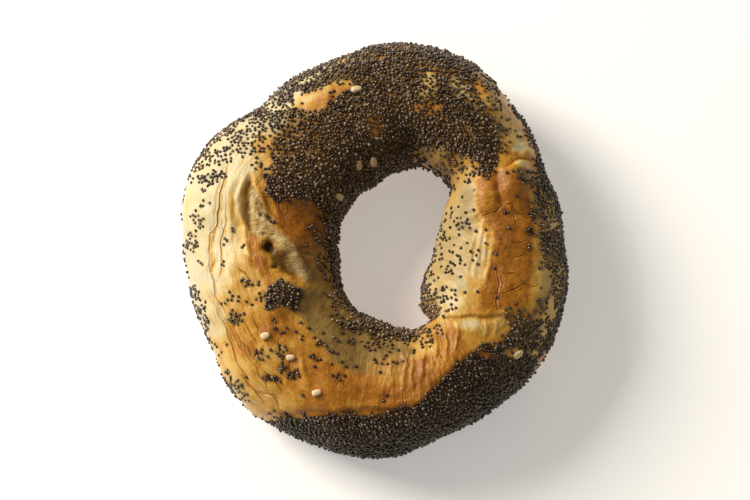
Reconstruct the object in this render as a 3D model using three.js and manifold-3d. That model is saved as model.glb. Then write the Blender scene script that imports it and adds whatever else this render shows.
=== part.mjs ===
// A hand-rolled ring bagel with poppy and sesame seeds, lying on its flat side.
// Millimetres, +Z up, crown up. The origin is on the resting face, at the middle of the plan box.
// Dough, folds and seeds are one body: the seeds are fused to the crust that they are baked into.
import * as THREE from "three";
import { mergeVertices } from "three/addons/utils/BufferGeometryUtils.js";
import Module from "manifold-3d";

const wasm = await Module();
wasm.setup();

// ---- Driving dimensions ----

const HOLE_CENTRE = { x: 5.6, y: 0.9 };
// Plan radii about the hole's centre, every 15 degrees anticlockwise from +X.
const OUTER_RADII = [
  48.2, 48.2, 48.6, 52.3, 56.4, 57.3, 57.8, 57, 55.9, 55.1, 59.7, 61,
  59.4, 59.9, 59, 61.6, 60.8, 61, 59.8, 56.1, 54.1, 53.4, 53.5, 50.9,
];
const HOLE_RADII = [
  12.5, 13.3, 16.4, 24.5, 24.8, 25, 22.3, 19.3, 19.6, 18, 16.2, 16.2,
  16.7, 16.7, 17.7, 19.9, 21.1, 22.7, 24.9, 26.1, 20.8, 13.3, 12.6, 12.5,
];
// A knob of dough that swells into the hole: degrees round the ring, half its width, and its height.
const KNOB = { round: 302, halfRound: 7, height: 4.4 };
// Height of the crown, every 45 degrees anticlockwise from +X.
const CROWN_HEIGHTS = [31, 33, 33.5, 33, 34, 33, 31, 31.5];
const EQUATOR_HEIGHT = 13.5; // where the ring is widest
const BELLY_DEPTH = 15.4; // how far the round underside would reach below the equator, before it settles flat
const SECTION_POWER = 2.35; // 2 is an ellipse, more is squarer

const SECTIONS = 108; // round the ring
const SECTION_POINTS = 28; // round each section
const CROWN_BIAS = 0.42; // how much closer those points stand on the crown than below it

const POPPY = { length: 1.2, width: 0.95, height: 0.85 };
const SESAME = { length: 3.3, width: 2.1, height: 1.1, taper: 0.3 };
const SEED_RISE = 0.1; // share of a seed's height that its middle stands above the crust
const POPPY_COUNT = 176;
const POPPY_GAP = 5.2; // least distance between the middles of two fused poppy seeds
const SEED_CLEARANCE = 0.6; // height that every fused seed keeps above the resting face

// ---- Relief of the crust ----
// Places are plan positions on the crown. A positive height is a ridge, a negative one a groove.

const FOLDS = [
  // long stretch marks down the left side
  { height: -1.2, width: 2, path: [[-40.7, 20.9], [-42.8, 11], [-43.4, 4], [-45.8, -4], [-44.8, -13.5]] },
  { height: 1.1, width: 2, path: [[-37.4, 19], [-39.6, 12], [-39.4, 4], [-38.5, -1]] },
  { height: -1.0, width: 2, path: [[-45.8, -15.7], [-41.8, -23.6], [-38.9, -31.5], [-34.5, -39.7]] },
  // torn gouge, its raised inner lip, and the channel that runs on from it
  { height: -2.4, width: 2.4, path: [[-35.4, 16.3], [-36.4, 11], [-35.4, 4], [-33.5, -0.5]] },
  { height: 1.2, width: 2, path: [[-32.7, 17.4], [-31, 9.6], [-28.4, 5], [-24.4, -0.6], [-20.5, -6]] },
  { height: -3, width: 2.6, path: [[-29.5, -3.1], [-25.8, -8.3], [-20.4, -14.5]] },
  // forked crack on the right
  { height: -1.8, width: 1.8, path: [[35, 17.5], [34.8, 13], [36.4, 9]] },
  { height: -1.6, width: 1.8, path: [[36.4, 9], [34, 6.6], [30, 5.5]] },
  { height: -1.6, width: 1.8, path: [[36.4, 9], [40, 7.4], [44.2, 4.3]] },
  { height: -1.3, width: 1.8, path: [[33.2, -16.4], [38, -15.8], [41.7, -13.8], [46.3, -13.8]] },
  // curled edge of the skin above it
  { height: -1.3, width: 1.8, path: [[45.4, 19.6], [43.5, 22.6], [40.3, 22], [37, 20.2]] },
  // short creases across the near side
  { height: 1.1, width: 1.7, path: [[19.8, -26.8], [19.9, -36]] },
  { height: 1.1, width: 1.7, path: [[14.2, -31.8], [13.4, -41]] },
  { height: 1.0, width: 1.7, path: [[8.3, -32.3], [8.1, -43]] },
  { height: 0.9, width: 1.7, path: [[2.6, -35.3], [2.2, -44.5]] },
];
// A lap is a fold's edge: the crust steps up on the left of its path, slopes off behind and fades at the ends.
const LAPS = [
  { height: 2.4, run: 12, path: [[16, -24.6], [23.6, -23.2], [38.1, -21.6], [50, -20.2]] },
  { height: 1.4, run: 9, path: [[-33, -49.4], [-15, -49.2], [6.9, -48.6], [17.9, -43.8], [26.3, -35.2], [33, -32.5]] },
];
const LAP_BLEND = 4.5; // plan width over which a lap steps up
const DOMES = [
  { height: 1.3, x: 31, y: 13, rx: 4.5, ry: 6, turn: 0 },
  { height: 1.7, x: 39.3, y: 13.4, rx: 5.5, ry: 5.5, turn: 0 },
  { height: 1.3, x: 36.4, y: 0.5, rx: 6, ry: 9, turn: 0 },
  { height: 1.2, x: -25, y: -18.2, rx: 5.5, ry: 4.2, turn: 20 }, // a clump of poppy seeds
  { height: 1.0, x: 24.5, y: -26, rx: 3.4, ry: 2.6, turn: 0 }, // a blister under the lap
];
// Uneven rise of the whole crust: waves round the ring and over its section.
const SWELL_WAVES = [
  { height: 0.5, round: 5, over: 1, phase: 0.4 },
  { height: 0.35, round: 8, over: 2, phase: 2.1 },
  { height: 0.2, round: 13, over: 3, phase: 4.4 },
];

// ---- Where the seeds lie ----
// In degrees round the ring, and over the section: 0 outer side, 90 crown, 180 hole side.

const SPARSE = 0.05; // share of the crust that seeds cover away from the patches
const SEED_PATCHES = [
  { round: 95, over: 95, halfRound: 62, halfOver: 80, cover: 1 },
  { round: 5, over: 20, halfRound: 40, halfOver: 40, cover: 0.9 },
  { round: 285, over: 10, halfRound: 45, halfOver: 62, cover: 1 },
  { round: 265, over: 165, halfRound: 45, halfOver: 30, cover: 0.9 },
  { round: 185, over: 178, halfRound: 40, halfOver: 28, cover: 1 },
  { round: 210, over: 98, halfRound: 8, halfOver: 14, cover: 1 },
  { round: 310, over: 155, halfRound: 14, halfOver: 28, cover: 0.8 },
  { round: 202, over: 68, halfRound: 8, halfOver: 14, cover: 0.5 },
  { round: 228, over: 64, halfRound: 8, halfOver: 8, cover: 0.5 },
  { round: 8, over: 130, halfRound: 7, halfOver: 9, cover: 0.6 },
  { round: 119, over: 70, halfRound: 8, halfOver: 8, cover: 0 },
  { round: 45, over: 150, halfRound: 14, halfOver: 26, cover: 0.1 },
  { round: 205, over: -30, halfRound: 60, halfOver: 30, cover: 0.5 },
];
// Sesame seeds: [degrees round, degrees over, turn of the long axis in plan].
const SESAME_PLACES = [
  [104, 79, 15], [143, 146, 100], [115, 139, 70], [104, 141, 80], [220, 73, 20], [231, 78, 10],
  [245, 64, 15], [317, 39, 40], [66, 28, 0], [20, -34, 60], [160, -36, 10],
];

// ---- Helpers ----

const radians = THREE.MathUtils.degToRad;

/** Small seeded random number generator, so that every build gives the same seeds. */
function randomSource(seed) {
  let state = seed;
  return () => {
    state = (state + 0x6d2b79f5) | 0;
    let mixed = Math.imul(state ^ (state >>> 15), 1 | state);
    mixed = (mixed + Math.imul(mixed ^ (mixed >>> 7), 61 | mixed)) ^ mixed;
    return ((mixed ^ (mixed >>> 14)) >>> 0) / 4294967296;
  };
}

/** Value of an evenly spaced closed list at an angle, by a Catmull-Rom curve through it. */
function aroundRing(values, angle) {
  const turn = ((angle / (2 * Math.PI)) % 1 + 1) % 1;
  const place = turn * values.length;
  const index = Math.floor(place);
  const t = place - index;
  const [before, from, to, after] = [-1, 0, 1, 2].map(
    (step) => values[(index + step + values.length) % values.length],
  );
  const quadratic = 2 * before - 5 * from + 4 * to - after;
  const cubic = 3 * (from - to) + after - before;
  return from + 0.5 * t * (to - before + t * (quadratic + t * cubic));
}

/** Nearest place on a plan path: distance, side (positive is left) and share of the path before it. */
function nearestOnPath(path, x, y) {
  let best = { distance: Infinity, side: 0, share: 0 };
  for (let i = 0; i + 1 < path.length; i++) {
    const [ax, ay] = path[i];
    const [bx, by] = path[i + 1];
    const [dx, dy] = [bx - ax, by - ay];
    const share = ((x - ax) * dx + (y - ay) * dy) / (dx * dx + dy * dy);
    const t = THREE.MathUtils.clamp(share, 0, 1);
    const distance = Math.hypot(x - ax - t * dx, y - ay - t * dy);
    if (distance < best.distance) {
      const side = (dx * (y - ay) - dy * (x - ax)) / Math.hypot(dx, dy);
      best = { distance, side, share: (i + t) / (path.length - 1) };
    }
  }
  return best;
}

const bell = (ratio) => Math.exp(-ratio * ratio);

/** An angle in degrees, from -180 to 180. */
function wrapDegrees(angle) {
  return ((angle % 360) + 540) % 360 - 180;
}

// ---- The dough ring ----

/** A point of the plain ring, before its relief. */
function plainPoint(round, over) {
  const beyondKnob = wrapDegrees(THREE.MathUtils.radToDeg(round) - KNOB.round);
  const inner = aroundRing(HOLE_RADII, round) - KNOB.height * bell(beyondKnob / KNOB.halfRound);
  const outer = aroundRing(OUTER_RADII, round);
  const halfWidth = (outer - inner) / 2;
  const rise = aroundRing(CROWN_HEIGHTS, round) - EQUATOR_HEIGHT;
  const halfHeight = Math.sin(over) > 0 ? rise : BELLY_DEPTH;
  const across = Math.abs(Math.cos(over) / halfWidth) ** SECTION_POWER;
  const upward = Math.abs(Math.sin(over) / halfHeight) ** SECTION_POWER;
  const reach = (across + upward) ** (-1 / SECTION_POWER);
  const radius = (inner + outer) / 2 + reach * Math.cos(over);
  return new THREE.Vector3(
    HOLE_CENTRE.x + radius * Math.cos(round),
    HOLE_CENTRE.y + radius * Math.sin(round),
    EQUATOR_HEIGHT + reach * Math.sin(over),
  );
}

/** Outward normal of the plain ring. */
function plainNormal(round, over) {
  const step = 1e-3;
  const along = plainPoint(round + step, over).sub(plainPoint(round - step, over));
  const across = plainPoint(round, over + step).sub(plainPoint(round, over - step));
  return along.cross(across).normalize();
}

/** Height of the folds, laps and domes at a plan position. */
function crownRelief(x, y) {
  const folds = FOLDS.map((fold) => fold.height * bell(nearestOnPath(fold.path, x, y).distance / fold.width));
  let height = Math.max(...folds, 0) + Math.min(...folds, 0); // where folds meet, only the strongest counts
  for (const lap of LAPS) {
    const { distance, side, share } = nearestOnPath(lap.path, x, y);
    const step = THREE.MathUtils.smoothstep(side, -LAP_BLEND / 2, LAP_BLEND / 2);
    const middle = Math.sin(Math.PI * share) ** 0.6;
    height += lap.height * step * middle * bell(distance / lap.run);
  }
  for (const dome of DOMES) {
    const turn = radians(dome.turn);
    const [dx, dy] = [x - dome.x, y - dome.y];
    const u = (dx * Math.cos(turn) + dy * Math.sin(turn)) / dome.rx;
    const v = (dy * Math.cos(turn) - dx * Math.sin(turn)) / dome.ry;
    height += dome.height * bell(Math.hypot(u, v));
  }
  return height;
}

/** A point of the crust, with its relief, settled on the resting face. */
function crustPoint(round, over) {
  const point = plainPoint(round, over);
  const swell = SWELL_WAVES.reduce(
    (sum, wave) => sum + wave.height * Math.sin(wave.round * round + wave.over * over + wave.phase),
    0,
  );
  const onCrown = THREE.MathUtils.smoothstep(Math.sin(over), 0.1, 0.55);
  const height = swell + onCrown * crownRelief(point.x, point.y);
  point.addScaledVector(plainNormal(round, over), height);
  point.z = Math.max(point.z, 0);
  return point;
}

/** Angle over the section at a place among its points, which stand closer together on the crown. */
function overAt(place) {
  const turn = (2 * Math.PI * place) / SECTION_POINTS;
  return turn + CROWN_BIAS * Math.cos(turn);
}

/** The place among a section's points at an angle over it. */
function placeAt(over) {
  let turn = over;
  for (let i = 0; i < 40; i++) turn = over - CROWN_BIAS * Math.cos(turn);
  return (turn / (2 * Math.PI)) * SECTION_POINTS;
}

/** The ring as one closed grid of triangles. */
function ringGeometry() {
  const positions = [];
  const indices = [];
  for (let i = 0; i < SECTIONS; i++) {
    for (let j = 0; j < SECTION_POINTS; j++) {
      const round = (2 * Math.PI * i) / SECTIONS;
      positions.push(...crustPoint(round, overAt(j)));
      const next = ((i + 1) % SECTIONS) * SECTION_POINTS;
      const here = i * SECTION_POINTS;
      const up = (j + 1) % SECTION_POINTS;
      indices.push(here + j, next + j, next + up, here + j, next + up, here + up);
    }
  }
  const geometry = new THREE.BufferGeometry();
  geometry.setAttribute("position", new THREE.Float32BufferAttribute(positions, 3));
  geometry.setIndex(indices);
  return geometry;
}

// ---- Seeds ----

/** A poppy seed: a small six-sided bead, longest along X. */
function poppyGeometry() {
  const seed = new THREE.SphereGeometry(0.5, 6, 2).rotateX(Math.PI / 2);
  return seed.scale(POPPY.length, POPPY.width, POPPY.height);
}

/** A sesame seed: a flat drop, longest along X, narrower at its +X end. */
function sesameGeometry() {
  const seed = new THREE.SphereGeometry(0.5, 8, 3).rotateX(Math.PI / 2);
  const position = seed.getAttribute("position");
  for (let i = 0; i < position.count; i++) {
    const narrowing = 1 - SESAME.taper * (position.getX(i) + 0.5);
    position.setY(i, position.getY(i) * narrowing);
  }
  return seed.scale(SESAME.length, SESAME.width, SESAME.height);
}

/** Where a seed lies: a point of the ring's faceted crust, and the way its facet faces. */
function facetAt(round, over) {
  const section = (round / (2 * Math.PI)) * SECTIONS;
  const place = placeAt(over);
  const [i, j] = [Math.floor(section), Math.floor(place)];
  const [u, v] = [section - i, place - j];
  const corner = (di, dj) => crustPoint((2 * Math.PI * (i + di)) / SECTIONS, overAt(j + dj));
  const [start, end] = [corner(0, 0), corner(1, 1)];
  const third = u > v ? corner(1, 0) : corner(0, 1);
  const along = u > v ? third.clone().sub(start) : end.clone().sub(third);
  const across = u > v ? end.clone().sub(third) : third.clone().sub(start);
  const point = start.clone().addScaledVector(along, u).addScaledVector(across, v);
  return { point, normal: along.cross(across).normalize() };
}

/** Lays a seed on the crust, its flat side along the surface. */
function laySeed(geometry, facet, spin, height) {
  const up = new THREE.Vector3(0, 0, 1);
  const upright = new THREE.Quaternion().setFromUnitVectors(up, facet.normal);
  const turned = new THREE.Quaternion().setFromAxisAngle(up, spin);
  const place = facet.point.clone().addScaledVector(facet.normal, SEED_RISE * height);
  const size = new THREE.Vector3(1, 1, 1);
  return geometry.applyMatrix4(new THREE.Matrix4().compose(place, upright.multiply(turned), size));
}

/** Share of the crust that seeds cover at a place, in degrees round and over. */
function seedCover(round, over) {
  let cover = SPARSE;
  for (const patch of SEED_PATCHES) {
    const u = wrapDegrees(round - patch.round) / patch.halfRound;
    const v = wrapDegrees(over - patch.over) / patch.halfOver;
    if (Math.hypot(u, v) < 1) cover = patch.cover;
  }
  return cover;
}

/** Poppy seeds thrown evenly over the seeded patches, none nearer to another than the gap. */
function poppySeeds() {
  const random = randomSource(7);
  const placed = [];
  const seeds = [];
  while (seeds.length < POPPY_COUNT) {
    const round = 360 * random();
    const over = 360 * random();
    const chance = random();
    const spin = 2 * Math.PI * random();
    const facet = facetAt(radians(round), radians(over));
    const reach = Math.hypot(facet.point.x - HOLE_CENTRE.x, facet.point.y - HOLE_CENTRE.y);
    const share = reach / Math.max(...OUTER_RADII); // the ring's outer side has more crust for a degree
    const low = facet.point.z < SEED_CLEARANCE;
    const crowded = placed.some((other) => other.distanceTo(facet.point) < POPPY_GAP);
    if (low || crowded || chance > share * seedCover(round, over)) continue;
    placed.push(facet.point);
    seeds.push(laySeed(poppyGeometry(), facet, spin, POPPY.height));
  }
  return seeds;
}

function sesameSeeds() {
  return SESAME_PLACES.map(([round, over, spin]) =>
    laySeed(sesameGeometry(), facetAt(radians(round), radians(over)), radians(spin), SESAME.height),
  );
}

// ---- Joining ----

function solidOf(geometry) {
  const bare = geometry.clone();
  bare.deleteAttribute("normal");
  bare.deleteAttribute("uv");
  const merged = mergeVertices(bare, 1e-4);
  return new wasm.Manifold(
    new wasm.Mesh({
      numProp: 3,
      vertProperties: merged.getAttribute("position").array,
      triVerts: new Uint32Array(merged.getIndex().array),
    }),
  );
}

function geometryOf(solid) {
  const mesh = solid.getMesh();
  const geometry = new THREE.BufferGeometry();
  geometry.setAttribute("position", new THREE.BufferAttribute(mesh.vertProperties, 3));
  geometry.setIndex(new THREE.BufferAttribute(mesh.triVerts, 1));
  geometry.computeVertexNormals();
  return geometry;
}

const parts = [ringGeometry(), ...sesameSeeds(), ...poppySeeds()].map(solidOf);
const fused = parts.reduce((whole, part) => whole.add(part));
const crust = new THREE.MeshStandardMaterial({ color: 0xc98a3a, roughness: 0.6, metalness: 0 });

const bagel = new THREE.Mesh(geometryOf(fused), crust);
bagel.name = "bagel";

const group = new THREE.Group();
group.add(bagel);

export default group;
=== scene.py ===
"""Looks of a hand-rolled ring bagel with poppy and sesame seeds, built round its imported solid.

The dough is one skinned ring that carries its folds, laps, tears and blisters as relief. The seeds are
joined meshes that lie on it. Sizes of the bagel are in millimetres, those of the studio are in metres, and
every mesh is made in metres.
"""

import logging
import math
from dataclasses import dataclass
from enum import Enum
from typing import Any, Callable, Sequence

import bpy
import numpy as np
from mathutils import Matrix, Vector, kdtree

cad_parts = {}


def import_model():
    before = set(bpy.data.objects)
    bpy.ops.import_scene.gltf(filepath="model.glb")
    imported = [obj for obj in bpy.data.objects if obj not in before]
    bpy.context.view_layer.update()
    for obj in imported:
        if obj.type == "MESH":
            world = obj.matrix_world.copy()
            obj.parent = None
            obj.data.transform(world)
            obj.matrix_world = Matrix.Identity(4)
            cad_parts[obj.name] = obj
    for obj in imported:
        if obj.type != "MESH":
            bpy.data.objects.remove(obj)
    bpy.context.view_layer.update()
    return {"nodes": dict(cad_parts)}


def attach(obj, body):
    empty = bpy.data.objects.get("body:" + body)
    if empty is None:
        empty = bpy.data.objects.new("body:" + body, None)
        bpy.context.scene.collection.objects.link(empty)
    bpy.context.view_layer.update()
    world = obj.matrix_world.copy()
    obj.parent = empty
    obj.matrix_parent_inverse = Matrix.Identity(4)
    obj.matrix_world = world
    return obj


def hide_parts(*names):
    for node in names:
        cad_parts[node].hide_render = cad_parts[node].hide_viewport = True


BODY = "root"
NODE = "bagel"
MM = 0.001
SKIN_RADIUS = 38.0  # millimetres along the skin for each radian round the ring
SKIN_SPAN = 19.0  # millimetres over the skin for each radian of the section
LOW_SIDE = (0.15, 0.6)  # sines below the widest part over which the upper side ends
PAST_EDGE = 9.0  # reach that an area of the upper side gains on the low side, which keeps it off there
RAGGED_EDGES = ((1.0, 6.0, 0.0), (0.8, 2.6, 50.0))  # noise at the edge of an area: strength, size and shift

log = logging.getLogger("bagel")

Array = np.ndarray
Plan = tuple[tuple[float, float], ...]


def smooth_step(value: Array, low: float, high: float) -> Array:
    """Rises from 0 at low to 1 at high, level at both ends."""
    t = np.clip((value - low) / (high - low), 0.0, 1.0)
    return t * t * (3.0 - 2.0 * t)


def bell(distance: Array, width: float) -> Array:
    """1 at no distance, fading smoothly over a width."""
    return np.exp(-((distance / width) ** 2))


def outward(surface: Callable[[Array, Array], Array], around: Array, over: Array, step: float) -> Array:
    """Which way a surface faces, found from its points a little to each side.

    Args:
        surface: Gives the surface's points at pairs of angles.
        around: Angles round the ring, in radians.
        over: Angles over the section, in radians.
        step: How far to each side it looks, in radians.

    Returns:
        A direction of length 1 for each pair of angles.
    """
    along = surface(around + step, over) - surface(around - step, over)
    across = surface(around, over + step) - surface(around, over - step)
    normal = np.cross(along, across)
    return normal / np.linalg.norm(normal, axis=-1, keepdims=True)


def carry(mesh: bpy.types.Mesh, name: str, value: Array) -> None:
    """Writes one value for each corner onto a mesh, for its finish to read."""
    mesh.attributes.new(name, "FLOAT", "POINT").data.foreach_set("value", value.astype(np.float32))


def put_in_scene(name: str, data: bpy.types.ID) -> bpy.types.Object:
    """Makes an object and puts it in the scene.

    Args:
        name: Name of the object.
        data: Its mesh, lamp or camera.

    Returns:
        The object.
    """
    made = bpy.data.objects.new(name, data)
    bpy.context.scene.collection.objects.link(made)
    return made


def linear_colour(code: str) -> tuple[float, float, float, float]:
    """Turns a six-digit hex colour into linear light.

    Args:
        code: The colour, such as "f0e2bd".

    Returns:
        Red, green, blue and an alpha of 1.
    """
    parts = [int(code[i : i + 2], 16) / 255 for i in (0, 2, 4)]
    red, green, blue = (p / 12.92 if p <= 0.04045 else ((p + 0.055) / 1.055) ** 2.4 for p in parts)
    return red, green, blue, 1.0


class DoughNoise:
    """Seeded smooth noise in space, for what no two bagels share."""

    CELLS = 1024  # cells before the lattice repeats

    def __init__(self, seed: int) -> None:
        """Draws the lattice that the noise is read from.

        Args:
            seed: Picks the lattice.
        """
        rng = np.random.default_rng(seed)
        self.order = rng.permutation(self.CELLS)
        slopes = rng.normal(size=(self.CELLS, 3))
        self.slopes = slopes / np.linalg.norm(slopes, axis=1, keepdims=True)

    def at(self, points: Array, size: float) -> Array:
        """Noise of one size.

        Args:
            points: Places, as rows of three numbers.
            size: Width of a typical bump, in the same unit.

        Returns:
            About -0.6 to 0.6 at each place.
        """
        scaled = points / size
        cell = np.floor(scaled).astype(int)
        part = scaled - cell
        ease = part * part * part * (part * (part * 6 - 15) + 10)
        total = np.zeros(len(points))
        for corner in np.ndindex(2, 2, 2):
            offset = np.array(corner)
            place = cell + offset
            row = self.order[(self.order[place[:, 0] % self.CELLS] + place[:, 1]) % self.CELLS]
            index = self.order[(row + place[:, 2]) % self.CELLS]
            share = np.prod(np.where(offset, ease, 1 - ease), axis=1)
            total += share * np.einsum("ij,ij->i", self.slopes[index], part - offset)
        return total

    def creases(self, points: Array, size: float, width: float) -> Array:
        """Thin wandering lines: 1 on a line and 0 away from it."""
        return np.clip(1 - np.abs(self.at(points, size)) / width, 0, 1) ** 2


# ---------------------------------------------------------------- places and areas of the crust


@dataclass(frozen=True)
class Places:
    """Places on the crust: their angles in radians and their points on the plain ring in millimetres."""

    around: Array
    over: Array
    points: Array

    def skin(self) -> Array:
        """The places laid out along the skin.

        Returns:
            Rows in millimetres: two numbers round the ring and one over it, which starts underneath.
        """
        over = (self.over + np.pi / 2) % (2 * np.pi) - np.pi / 2
        ring = SKIN_RADIUS * np.cos(self.around), SKIN_RADIUS * np.sin(self.around)
        return np.stack([*ring, SKIN_SPAN * over], axis=-1)

    def lowness(self) -> Array:
        """0 on the upper side, rising to 1 under the widest part."""
        return smooth_step(-np.sin(self.over), *LOW_SIDE)


def beside(path: Plan, x: Array, y: Array) -> tuple[Array, Array, Array]:
    """How places lie beside a plan path.

    Args:
        path: Corners of the path.
        x: Plan positions across.
        y: Plan positions along.

    Returns:
        Distance, side (above 0 on the left) and the share of the path before the nearest point.
    """
    distance = np.full(x.shape, np.inf)
    side = np.zeros(x.shape)
    share = np.zeros(x.shape)
    for i, ((ax, ay), (bx, by)) in enumerate(zip(path, path[1:])):
        dx, dy = bx - ax, by - ay
        t = np.clip(((x - ax) * dx + (y - ay) * dy) / (dx * dx + dy * dy), 0, 1)
        gap = np.hypot(x - ax - t * dx, y - ay - t * dy)
        near = gap < distance
        distance = np.where(near, gap, distance)
        side = np.where(near, (dx * (y - ay) - dy * (x - ax)) / math.hypot(dx, dy), side)
        share = np.where(near, (i + t) / (len(path) - 1), share)
    return distance, side, share


@dataclass(frozen=True)
class Spot:
    """An oval of the upper side, laid out in plan, and the height or the value that it holds."""

    value: float
    x: float
    y: float
    rx: float
    ry: float
    turn: float = 0.0
    soft: float = 0.35

    def reach(self, places: Places) -> Array:
        """How far each place lies from the middle.

        Args:
            places: Where to measure.

        Returns:
            1 at the oval's edge, and less inside it.
        """
        turn = math.radians(self.turn)
        dx, dy = places.points[:, 0] - self.x, places.points[:, 1] - self.y
        u = (dx * math.cos(turn) + dy * math.sin(turn)) / self.rx
        v = (dy * math.cos(turn) - dx * math.sin(turn)) / self.ry
        return np.hypot(u, v) + PAST_EDGE * places.lowness()


@dataclass(frozen=True)
class Field:
    """An area of the upper side inside a closed plan outline, and the value that it holds."""

    value: float
    outline: Plan
    edge: float = 4.0  # millimetres that count as one step of reach
    soft: float = 0.3

    def reach(self, places: Places) -> Array:
        """How far each place lies beside the outline.

        Args:
            places: Where to measure.

        Returns:
            1 at the outline, and less inside it.
        """
        x, y = places.points[:, 0], places.points[:, 1]
        closed = (*self.outline, self.outline[0])
        inside = np.zeros(x.shape, bool)
        for (ax, ay), (bx, by) in zip(closed, closed[1:]):
            spans = (ay > y) != (by > y)
            inside ^= spans & (x < ax + (bx - ax) * (y - ay) / (by - ay if by != ay else 1.0))
        distance = beside(closed, x, y)[0]
        return 1 + np.where(inside, -distance, distance) / self.edge + PAST_EDGE * places.lowness()


@dataclass(frozen=True)
class Patch:
    """An area of the crust in degrees round the ring and over its section, and the value that it holds."""

    value: float
    around: float
    over: float
    half_around: float
    half_over: float
    soft: float = 0.3
    square: float = 2.4

    def reach(self, places: Places) -> Array:
        """How far each place lies from the middle.

        Args:
            places: Where to measure.

        Returns:
            1 at the area's edge, and less inside it.
        """
        around, over = np.degrees(places.around), np.degrees(places.over)
        u = np.abs((around - self.around + 180) % 360 - 180) / self.half_around
        v = np.abs((over - self.over + 180) % 360 - 180) / self.half_over
        return (u**self.square + v**self.square) ** (1 / self.square)


@dataclass(frozen=True)
class Paint:
    """Values painted over the crust area by area, later ones over earlier ones, with ragged edges."""

    areas: tuple[Spot | Field | Patch, ...]
    start: float = 0.0
    ragged: float = 0.3

    def at(self, places: Places, noise: DoughNoise) -> Array:
        """Reads the paint.

        Args:
            places: Where to read it.
            noise: Makes the edges of the areas ragged.

        Returns:
            The painted value at each place.
        """
        skin = places.skin()
        wander = self.ragged * sum(
            strength * noise.at(skin + shift, size) for strength, size, shift in RAGGED_EDGES
        )
        value = np.full(places.around.shape, self.start)
        for area in self.areas:
            share = 1 - smooth_step(area.reach(places) + wander, 1 - area.soft, 1 + area.soft)
            value += (area.value - value) * share
        return value


# ---------------------------------------------------------------- relief of the crust


@dataclass(frozen=True)
class Fold:
    """A ridge or a groove along a plan path: a height above 0 rises, one below 0 sinks."""

    height: float
    width: float
    path: Plan

    NARROW = 1.0  # width below which a groove is a crease
    AT_ENDS = 0.3  # share of the height that is left at the path's ends

    @property
    def is_crease(self) -> bool:
        """Whether it is a narrow groove."""
        return self.height < 0 and self.width < self.NARROW

    def relief(self, x: Array, y: Array) -> Array:
        """Height of the fold, tapering to the path's ends.

        Args:
            x: Plan positions across.
            y: Plan positions along.

        Returns:
            Millimetres at each position.
        """
        distance, _, share = beside(self.path, x, y)
        taper = self.AT_ENDS + (1 - self.AT_ENDS) * np.sin(np.pi * share) ** 0.7
        return self.height * taper * bell(distance, self.width)


@dataclass(frozen=True)
class Lap:
    """The edge of a fold: the crust steps up on the left of the path and slopes off behind it."""

    height: float
    run: float
    blend: float
    path: Plan

    def relief(self, x: Array, y: Array) -> Array:
        """Height of the step, fading to the path's ends.

        Args:
            x: Plan positions across.
            y: Plan positions along.

        Returns:
            Millimetres at each position.
        """
        distance, side, share = beside(self.path, x, y)
        step = smooth_step(side, -self.blend / 2, self.blend / 2)
        return self.height * step * np.sin(np.pi * share) ** 0.6 * bell(distance, self.run)


@dataclass(frozen=True)
class Wrinkles:
    """Fine wrinkles of one kind, on a skin that is stretched: a soft swell and thin lines."""

    stretch: tuple[float, float, float]
    swell: float
    swell_size: float
    line: float  # height of the lines, below 0 for grooves
    line_size: float
    line_width: float
    shift: float

    def relief(self, skin: Array, noise: DoughNoise) -> Array:
        """Height of the wrinkles.

        Args:
            skin: Places along the skin, as rows of three numbers.
            noise: Where the wrinkles run.

        Returns:
            Millimetres at each place.
        """
        drawn = skin * self.stretch
        lines = noise.creases(drawn + self.shift, self.line_size, self.line_width)
        return self.swell * noise.at(drawn, self.swell_size) + self.line * lines


ALONG = Wrinkles((0.16, 0.16, 1.0), 0.2, 2.4, -0.22, 3.0, 0.1, 9)
ACROSS = Wrinkles((1.0, 1.0, 0.2), 0.16, 2.0, 0.24, 3.2, 0.1, 5)
DIMPLES = Wrinkles((1.0, 1.0, 1.0), 0.25, 2.6, -0.16, 4.4, 0.07, 3)
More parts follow.
